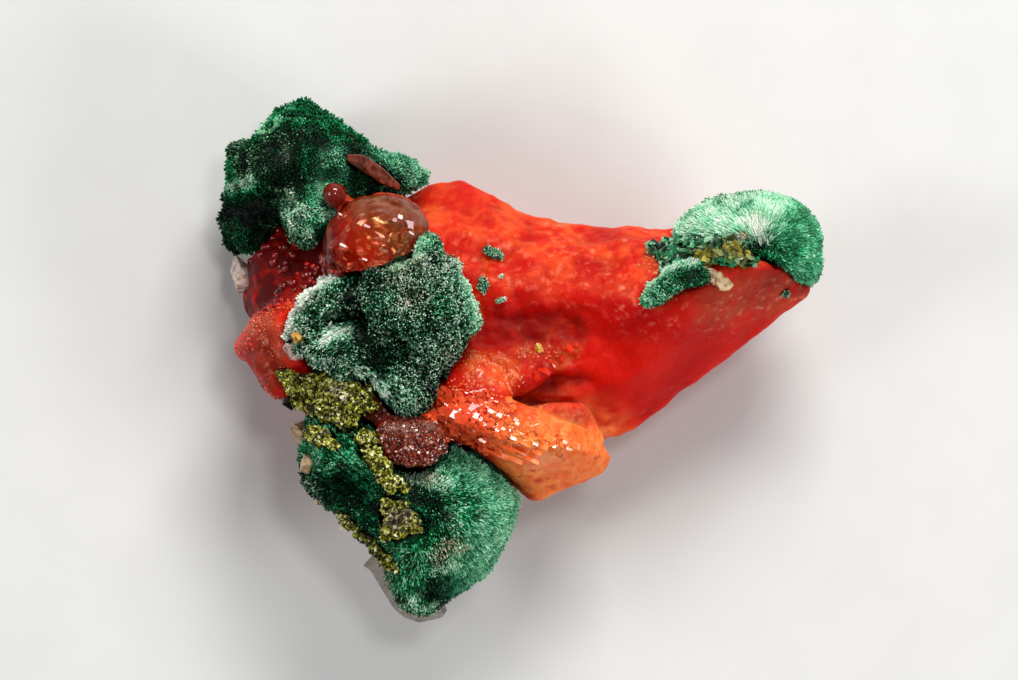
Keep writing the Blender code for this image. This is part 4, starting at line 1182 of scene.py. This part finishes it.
# %% Lower cluster
LOWER = {
    "bump": 0.14, "nodule": 1.0, "core": 0.2, "spacing": 0.0705, "length": 0.34, "width": 0.045,
    "heart": (-3.3, -5.0, 4.5), "upright": 0.3, "creases": 0.3,
    "dents": [(0.8, 0.5, -6.2, -4.3, -5.7, -4.5), (0.4, 0.25, -3.6, -4.95, -3.0, -5.0)],
    "fans": [
        ((-4.6, -5.0, 7.2), 1.5, 0.95, -7.0, -3.1, -5.8, -3.9),
        ((-3.2, -6.1, 7.6), 1.5, 0.95, -3.9, -6.7, -4.1, -8.2),
        ((-3.3, -5.0, 7.5), 1.6, 0.6, -2.4, -4.6, -1.4, -5.2, -2.0, -6.4),
    ],
    # Painted sheen: along the right rim the pale and mint rows stand for the sheen of needles seen side-on.
    "pale": [
        (1.1, 0.4, -1.6, -3.0, -0.6, -3.7, 0.0, -4.7, -0.3, -6.0, -0.9, -7.2, -1.7, -8.0),
        (0.7, 0.95, -3.6, -3.9, -2.6, -4.2), (0.6, 0.45, -2.8, -6.8, -2.1, -6.6),
        (0.45, 0.9, -2.9, -7.5, -2.3, -7.4), (0.6, 0.5, -3.6, -8.6, -3.2, -8.8),
        (0.6, 0.3, -2.0, -5.4, -1.5, -6.0),
    ],
    "mint": [(1.5, 1.5, -1.8, -3.2, -0.6, -3.9, -0.1, -4.8, -0.4, -6.0, -0.9, -7.0, -1.7, -7.8)],
    "emerald": [
        (1.6, 1.0, -7.4, -3.0, -6.2, -3.5, -5.3, -4.2), (1.4, 1.0, -3.7, -6.6, -3.9, -7.7),
        (1.9, 0.9, -2.8, -3.2, -1.8, -4.5, -1.4, -5.6, -1.7, -7.0), (0.8, 0.9, -5.2, -2.0),
        (1.0, 1.0, -3.4, -5.2, -3.0, -6.2), (1.2, 0.8, -6.2, -5.2, -4.8, -6.3), (1.0, 0.6, -3.6, -8.7),
    ],
    "rosy": [(0.7, 1.0, -2.7, -6.9, -2.1, -6.6), (0.5, 0.5, -3.2, -4.1)],
    "dark": [
        (1.0, 0.7, -6.6, -4.6, -5.8, -4.9, -5.3, -5.4), (0.6, 0.45, -3.6, -4.9, -2.9, -5.0),
        (0.6, 0.5, -4.4, -6.4, -3.4, -5.9), (0.8, 0.8, -3.2, -8.2, -2.4, -8.0, -1.9, -8.1),
    ],
}
cluster("malachite_lower_velvet", "malachite_lower", LOWER, 31)

# %% [markdown]
# The upper cluster is darker and blunter: large nodules under short velvet, with deep creases between them.
# The cap on the arm's tip is the opposite: long silky needles that fan out over almost no nodules. The finger
# below it and the five specks share one table, because they are the same growth in small.

# %% Upper cluster
UPPER = {
    "bump": 0.46, "nodule": 1.0, "core": 0.13, "spacing": 0.083, "length": 0.18, "width": 0.06,
    "heart": (-7.9, 6.6, 2.6), "upright": 0.3, "creases": 0.8, "contrast": 0.5,
    "dents": [(0.5, 0.4, -7.3, 7.0, -7.1, 6.3), (0.5, 0.5, -9.5, 5.7, -8.4, 5.6)],
    "pale": [
        (0.5, 1.1, -10.4, 6.1, -9.6, 6.3), (0.5, 0.8, -9.3, 8.3, -8.8, 8.5),
        (1.1, 0.75, -8.1, 5.5, -7.5, 4.8, -7.0, 5.2), (0.8, 0.1, -4.4, 7.1, -3.6, 6.6),
        (0.4, 0.5, -6.5, 7.3, -7.1, 6.9, -7.0, 6.0, -6.7, 5.4),
    ],
    "emerald": [
        (1.2, 1.0, -7.9, 9.2, -6.8, 8.5, -6.0, 8.0), (1.2, 1.3, -7.2, 7.3, -6.6, 6.4, -5.8, 6.6),
        (0.9, 1.1, -7.2, 5.9, -7.0, 5.0), (0.7, 1.0, -10.6, 6.9, -10.3, 6.0, -9.4, 6.1),
        (0.9, 0.8, -9.6, 8.2, -8.6, 8.8), (0.8, 0.6, -10.2, 4.6, -9.6, 3.8),
        (0.7, 0.7, -5.8, 6.0, -5.0, 5.9), (0.3, 1.3, -7.9, 8.35),
    ],
    "mint": [
        (0.9, 1.0, -5.0, 7.3, -4.2, 7.1, -3.5, 6.6), (0.6, 1.6, -6.5, 7.3, -7.1, 6.9, -7.0, 6.0, -6.7, 5.3),
        (0.35, 1.0, -6.4, 7.2, -6.2, 6.4, -6.1, 6.0), (0.8, 0.4, -8.1, 5.4, -7.5, 4.7),
    ],
    "rosy": [(1.6, 0.2, -9.6, 7.6, -8.2, 7.2), (0.6, 0.3, -6.2, 6.7, -5.2, 6.6)],
    "dark": [
        (0.9, 0.5, -8.6, 6.8, -7.8, 6.4), (0.45, 0.9, -5.9, 6.5, -5.2, 6.4),
        (0.9, 0.5, -10.6, 5.6, -9.4, 5.4, -8.6, 5.4), (0.7, 0.8, -5.9, 7.6, -5.2, 7.0),
        (1.0, 0.3, -10.4, 4.8, -9.8, 4.0), (2.2, 0.15, -8.6, 7.6),
    ],
}
cluster("malachite_upper_velvet", "malachite_upper", UPPER, 41)

# %% Cap and finger
CAP = {
    "bump": 0.08, "nodule": 0.7, "core": 0.16, "spacing": 0.06, "length": 0.45, "width": 0.04,
    "heart": (8.5, 4.1, 5.0), "creases": 0.3, "spray": 0.22, "contrast": 0.6,
    "dents": [(0.35, 0.25, 8.5, 4.1, 9.2, 4.9)],
    "fans": [((8.6, 4.05, 6.6), 1.9, 0.8, 7.0, 4.7, 8.6, 5.0, 9.9, 4.2, 10.3, 3.0)],
    "pale": [
        (1.3, 1.0, 5.7, 4.5, 6.6, 5.0, 8.0, 5.2, 9.0, 5.4), (0.8, 1.3, 8.0, 4.9, 8.9, 4.7),
        (0.25, 0.8, 9.2, 4.7, 8.9, 4.2),
    ],
    "mint": [
        (1.3, 1.2, 5.7, 4.4, 6.6, 4.8, 8.0, 5.0, 9.0, 5.4), (1.6, 0.45, 9.9, 5.2, 10.3, 4.0, 10.2, 3.0),
    ],
    "emerald": [(1.7, 1.3, 9.8, 5.2, 10.2, 4.0, 10.3, 3.0), (0.6, 0.9, 8.4, 3.6, 9.2, 3.6)],
    "rosy": [(0.35, 1.3, 7.9, 4.4), (0.5, 0.3, 8.4, 5.1)],
    "dark": [(0.3, 0.5, 8.2, 4.5, 8.6, 4.1), (0.25, 0.4, 9.0, 4.2, 9.8, 4.9)],
}
cluster("malachite_cap_velvet", "malachite_cap", CAP, 51)

FINGER = {
    "cell": 0.08, "bump": 0.24, "nodule": 0.6, "core": 0.12, "spacing": 0.062, "length": 0.2,
    "width": 0.042, "heart": (5.4, 2.7, 7.0), "upright": 0.3,
    "emerald": [(1.2, 1.1, 4.3, 2.2, 5.4, 2.8, 6.4, 3.4)],
    "pale": [(0.35, 1.1, 4.3, 2.6, 5.2, 3.3, 6.2, 3.5), (0.6, 0.55, 4.5, 2.1, 5.4, 2.7)],
    "mint": [(0.35, 0.8, 4.3, 2.4, 5.2, 3.3, 6.2, 3.5)],
    "dark": [(0.5, 0.6, 6.0, 3.0, 6.6, 3.1)],
}
cluster("malachite_finger_velvet", "malachite_finger", FINGER, 61)

# %% Specks
SPECK_NAMES = ("speck_top", "speck_left", "speck_small", "speck_low", "speck_tip")
for number, name in enumerate(SPECK_NAMES):
    low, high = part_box(name)
    middle = tuple((low + high) / 2 / MM)
    look = dict(FINGER, cell=0.05, spacing=0.06, length=0.13, core=0.05, bump=0.08, heart=middle, dark=())
    look["pale"] = [(0.6, 0.9, *middle[:2])]
    look["mint"] = [(0.7, 0.7, *middle[:2])]
    look["emerald"] = [(0.6, 1.0 if name == "speck_tip" else 0.3, *middle[:2])]
    cluster(name + "_velvet", name, look, 81 + number)

# %% [markdown]
# Under the cap hangs a tangle of flat malachite leaves. They are blades, not needles, so they are small
# crystals again: long, wide and very thin, lying every way, from near black to emerald and olive.

# %% Leaf tangle


def leaf_tangle():
    skin = fine_skin("malachite_leaves", 0.08)
    # Painted shade: the core has a low tint, which makes it nearly black, as the shade inside the tangle.
    core = skin.sunk(0.12, tint=0.1)
    places, normals = scatter(skin, 0.16, 361)
    draw = np.random.default_rng(362)
    lie = leaning(draw, normals, 0.6)
    lengths = draw.uniform(0.25, 0.75, len(places))
    widths = lengths * draw.uniform(0.25, 0.45, len(places))
    blades = crystals(places - normals * 0.05, lie, widths, lengths, 0.03, 363, sides=6, top=0.85)
    olive = stroke(places, ((7.5, 3.9), (7.9, 3.7)), 0.5) + stroke(places, ((7.0, 3.1), (7.4, 2.9)), 0.5)
    olive += stroke(places, ((6.4, 3.7), (6.8, 3.7)), 0.4)
    blades.traits["olive"] = spread_trait(blades, kept(olive * 2))
    blades.traits["fresh"] = spread_trait(blades, stroke(places, ((7.2, 3.4), (7.5, 3.4)), 0.4))
    return joined([core, blades])


def leaf_finish():
    leaf = Finish("malachite_leaf", IOR=1.65, Coat_Weight=0.3, Coat_Roughness=0.2)
    tint = leaf.trait("tint")
    green = leaf.ramp(tint, (0.0, 2, 22, 12), (0.35, 8, 76, 42), (0.7, 38, 146, 92), (1.0, 176, 230, 186))
    olive = leaf.ramp(tint, (0.0, 70, 66, 8), (0.6, 140, 128, 30), (1.0, 190, 176, 80))
    mixed = leaf.blend(leaf.trait("olive"), green, olive)
    fresh = leaf.blend(leaf.trait("fresh"), mixed, (40, 170, 110))
    streaked = leaf.shade(fresh, 0.7 + 0.6 * leaf.grain(0.08, 3.0))
    return leaf.wear(Base_Color=streaked, Roughness=0.3 + 0.3 * leaf.grain(0.1))


leaf_skin = leaf_finish()
piece("malachite_leaf_blades", leaf_tangle(), leaf_skin, "malachite", "malachite_leaves")

# %% [markdown]
# ## Olive crusts
# A crust is a heap of tiny grains on a hollowed bed. We sink a bed under the solid's skin, painted dark as
# the shade between grains, and cover it with short three-sided grains of many sizes. The bed shows only as
# dark gaps, which give the crust its sparkle.

# %% Crust finish


def crust_finish():
    crust = Finish("olive_crust", Specular_IOR_Level=0.35, Coat_Roughness=0.12)
    heaps = crust.step(crust.grain(0.16, 2.0), 0.4, 0.6)
    tone = (crust.trait("tint") * 0.7 + 0.3 * crust.grain(0.4, 2.0) + 0.4 * heaps - 0.3).kept()
    # Painted highlight and shade: the palest stops stand for glints on the grains, the darkest for shade in
    # the pits.
    olive = crust.ramp(
        tone, (0.0, 12, 12, 1), (0.25, 58, 60, 4), (0.48, 146, 148, 18), (0.66, 218, 214, 74),
        (0.84, 255, 252, 206),
    )
    grey = crust.ramp(tone, (0.0, 24, 22, 14), (0.5, 92, 84, 56), (1.0, 190, 176, 140))
    mixed = crust.blend(crust.trait("grey"), olive, grey)
    cream = crust.blend(crust.trait("cream"), mixed, (226, 216, 184))
    glint = crust.step(crust.trait("tint"), 0.8, 0.92)
    return crust.wear(Base_Color=cream, Roughness=0.25 + 0.4 * crust.grain(0.1), Coat_Weight=glint)


crust_skin = crust_finish()
print("crust finish:", len(crust_skin.node_tree.nodes), "nodes")

# %% Crusts
GRAIN_MM = 0.085


def crust(name, seed, grey=(), cream=()):
    skin = fine_skin(name, 0.09).relax(2)
    out = skin.normals()
    hollows = 0.46 * (pebbles(skin.points, 0.55, seed) - 0.8) + 0.1 * lumps(skin.points, 0.25, seed + 1)
    skin.points += out * hollows[:, None]
    # Painted shade: the bed has a low tint, so it shows dark between the grains.
    bed = skin.sunk(0.05, tint=0.1)
    places, normals = scatter(skin, GRAIN_MM * 0.7, seed)
    free = uncovered(places, normals, {name}, 0.3) & (normals[:, 2] > -0.3)
    places, normals = places[free], normals[free]
    draw = np.random.default_rng(seed + 2)
    sizes = GRAIN_MM * draw.uniform(0.5, 1.5, len(places))
    ways = leaning(draw, normals, 0.5)
    sunk = places + normals * draw.uniform(-0.05, 0.04, (len(places), 1))
    grains = needles(sunk, ways, sizes * 1.4, sizes, seed + 3)
    grains.traits["grey"] = spread_trait(grains, painted(places, grey, seed + 4))
    creamy = painted(places, cream, seed + 5) * (draw.random(len(places)) < 0.7)
    grains.traits["cream"] = spread_trait(grains, creamy)
    piece(name + "_grains", joined([bed, grains]), crust_skin, "olive_crust", name)


crust("crust_upper", 101, cream=[(0.3, 1.2, -6.55, -1.05, -6.2, -1.25)])
crust("crust_side", 111, cream=[(0.3, 0.6, -6.8, -2.6)])
crust("crust_middle", 121)
crust("crust_lower", 131, grey=[(0.7, 1.2, -4.3, -5.6, -4.0, -5.5)])
crust("crust_rim", 141, grey=[(0.5, 0.4, -6.2, -5.5, -5.4, -6.4)])

# %% [markdown]
# ## Druse
# Between the green clusters lies a patch of small dark red crystals, with bright sparks on their faces. They
# are stubby cubes, so four sides with a narrower flat top fit, on a bed painted dark red as the shade between
# them.

# %% Druse crystals


def druse_finish():
    druse = Finish(
        "cuprite_druse", Subsurface_Weight=0.3, Subsurface_Radius=(1.0, 0.2, 0.1),
        Subsurface_Scale=0.3 * MM, Coat_Weight=0.5, Coat_Roughness=0.05,
    )
    tone = druse.ramp(
        druse.trait("tint"), (0.0, 64, 12, 6), (0.5, 118, 36, 20), (0.85, 160, 66, 40),
        (1.0, 210, 150, 130),
    )
    greyed = druse.blend(druse.trait("grey") * 0.6, tone, (150, 106, 90))
    return druse.wear(Base_Color=greyed, Roughness=0.12 + 0.2 * druse.grain(0.2))


def druse_grains(draw, places, normals, least, most, seed):
    sizes = draw.uniform(least, most, len(places))
    ways = leaning(draw, normals + 0.3 * spark_ways(places), 0.35)
    return crystals(places - normals * 0.05, ways, sizes, sizes, sizes * 0.6, seed, top=0.6, shoulder=0.5)


def druse_patch():
    skin = fine_skin("cuprite_druse", 0.09).relax(4)
    skin.points += skin.normals() * (0.16 * (pebbles(skin.points, 0.7, 151) - 0.8))[:, None]
    # Painted shade: the bed's low tint shows dark between the crystals.
    bed = skin.sunk(0.08, tint=0.3)
    places, normals = scatter(skin, 0.075, 152)
    free = uncovered(places, normals, {"cuprite_druse"}, 0.3)
    places, normals = places[free], normals[free]
    grains = druse_grains(np.random.default_rng(153), places, normals, 0.04, 0.12, 154)
    grains.traits["grey"] = spread_trait(grains, painted(places, [(0.3, 1.0, -4.5, -2.4, -3.1, -2.35)], 155))
    return joined([bed, grains])


EDGE_PATH = ((-6.1, -1.3), (-5.2, -1.9), (-4.2, -2.0), (-3.0, -1.9), (-2.7, -2.3))


def druse_edge():
    """The same small crystals where the patch runs out over the cuprite around it."""
    places, normals = scatter(cuprite_form, 0.09, 156)
    draw = np.random.default_rng(157)
    near = stroke(places, EDGE_PATH, 0.7) * 1.3 > draw.random(len(places))
    keep = near & (places[:, 2] > 4.0) & (normals[:, 2] > 0.1)
    places, normals = places[keep], normals[keep]
    open_sky = uncovered(places, np.tile([0.0, 0.0, 1.0], (len(places), 1)), {"cuprite"}, 6.0)
    places, normals = places[open_sky], normals[open_sky]
    return druse_grains(draw, places, normals, 0.05, 0.14, 158)


druse_skin = druse_finish()
piece("druse_crystals", druse_patch(), druse_skin, "cuprite", "cuprite_druse")
piece("druse_edge_crystals", druse_edge(), druse_skin, "cuprite", "cuprite")

# %% [markdown]
# ## Chips, blade and flake
# The small pale chips, the brown blade and the clear flake are broken pieces with sharp edges. A remesh would
# blur them, so they keep their solids' own faces with a fine bevel. A clear thin flake shows mostly its rim.

# %% Bevelled chips
SHARP = math.radians(18)
CHIP_BEVEL = 0.03


def bevelled(node, width):
    bm = welded(node)
    shared = [edge for edge in bm.edges if len(edge.link_faces) == 2]
    sharp = [edge for edge in shared if edge.calc_face_angle() > SHARP]
    bmesh.ops.bevel(bm, geom=sharp, offset=width, segments=2, profile=0.6, affect="EDGES", clamp_overlap=True)
    bmesh.ops.triangulate(bm, faces=bm.faces)
    mesh = bpy.data.meshes.new("chip")
    bm.to_mesh(mesh)
    bm.free()
    shape = shape_of(mesh, smooth=False)
    bpy.data.meshes.remove(mesh)
    return shape


def chip_finish(name, dark, light, **fixed):
    chip = Finish(
        name, Subsurface_Weight=0.5, Subsurface_Radius=(0.8, 0.6, 0.5), Subsurface_Scale=0.25 * MM,
        Coat_Weight=0.4, **fixed,
    )
    mottle = chip.step(chip.grain(0.22, 4.0), 0.35, 0.65)
    cracks = chip.bump(chip.grain(0.12, 4.0), 0.6, 0.04)
    return chip.wear(Base_Color=chip.blend(mottle, dark, light), Roughness=0.2 + 0.3 * mottle, Normal=cracks)


pale_spar = chip_finish("pale_spar", (172, 134, 120), (226, 202, 190))
tan_spar = chip_finish("tan_spar", (132, 92, 58), (206, 180, 136))
gold_spar = chip_finish("gold_spar", (190, 110, 14), (250, 190, 70))
brown_spar = chip_finish("brown_spar", (72, 26, 15), (118, 52, 31), Specular_IOR_Level=0.2)
smoky_glass = chip_finish("smoky_glass", (8, 10, 8), (40, 44, 38), IOR=1.8)

CHIPS = (
    ("pink_chip", pale_spar, "pale_spar"), ("pale_side", pale_spar, "pale_spar"),
    ("grey_chip", tan_spar, "pale_spar"), ("tan_chip", tan_spar, "pale_spar"),
    ("tan_bead", tan_spar, "pale_spar"), ("brown_blade", brown_spar, "brown_spar"),
    ("dark_chip", smoky_glass, "clear_spar"),
)
for name, material, slot in CHIPS:
    piece(name + "_stone", bevelled(name, CHIP_BEVEL), material, slot, name)

# %% [markdown]
# The two honey-yellow grains are rough little clumps, so their solids' skin is covered with small facets.

# %% Honey grains


def rough_grain(name, seed):
    skin = fine_skin(name, 0.05)
    bed = skin.sunk(0.05)
    places, normals = scatter(skin, 0.1, seed)
    draw = np.random.default_rng(seed + 1)
    sizes = draw.uniform(0.08, 0.18, len(places))
    ways = leaning(draw, normals, 0.5)
    facets = crystals(places - normals * 0.07, ways, sizes, sizes, sizes * 0.6, seed + 2, sides=5, top=0.7)
    piece(name + "_facets", joined([bed, facets]), gold_spar, "gold_grain", name)


rough_grain("gold_grain", 391)
rough_grain("ledge_grain", 395)

# %% [markdown]
# The tan flake is a stack of thin plates, not one chip. Six of them overlap like roof tiles along its length.

# %% Tan flake
FLAKE_PLATES = 6
FLAKE_FROM = np.array([6.5, 3.15, 7.25])
FLAKE_TO = np.array([7.2, 2.75, 7.2])


def tan_flake():
    draw = np.random.default_rng(381)
    places = np.linspace(FLAKE_FROM, FLAKE_TO, FLAKE_PLATES)
    places = places + draw.normal(0, 0.05, places.shape) * [1, 1, 0.4]
    ways = leaning(draw, np.tile([0.25, 0.3, 1.0], (FLAKE_PLATES, 1)), 0.22)
    lie = unit(FLAKE_TO - FLAKE_FROM)[None]
    widths = draw.uniform(0.3, 0.46, FLAKE_PLATES)
    return crystals(places, ways, widths, widths * 1.5, 0.07, 382, depth=1.2, sides=6, top=0.8, toward=lie)


piece("tan_flake_plates", tan_flake(), tan_spar, "pale_spar", "tan_flake")

# %% Clear flake


def flake_finish():
    flake = Finish("clear_flake", Transmission_Weight=1.0, IOR=1.45, Coat_Weight=0.3)
    mist = flake.step(flake.grain(0.5, 4.0), 0.4, 0.7)
    tone = flake.blend(mist, (206, 198, 190), (150, 134, 124))
    ripple = flake.bump(flake.grain(0.6, 3.0), 0.3, 0.1)
    return flake.wear(Base_Color=tone, Roughness=0.04 + 0.3 * mist, Normal=ripple)


flake_skin = flake_finish()
piece("clear_flake_glass", bevelled("clear_flake", 0.06), flake_skin, "clear_spar", "clear_flake")

# %% [markdown]
# ## Floor
# The stone lies on its flat broken back on a plain pale sheet. The sheet rides on no body, so it is not part
# of the stone.

# %% Floor
FLOOR_SIDE = 900.0


def floor_sheet():
    half = FLOOR_SIDE / 2 * MM
    corners = [(-half, -half, 0), (half, -half, 0), (half, half, 0), (-half, half, 0)]
    mesh = bpy.data.meshes.new("pale_floor")
    mesh.from_pydata(corners, [], [range(4)])
    paper = Finish("pale_paper", Specular_IOR_Level=0.2)
    tone = paper.blend(paper.grain(3.0, 4.0), (214, 214, 212), (222, 222, 220))
    mesh.materials.append(paper.wear(Base_Color=tone, Roughness=0.9))
    sheet = added("pale_floor", mesh)
    print("floor side in mm:", FLOOR_SIDE)


floor_sheet()
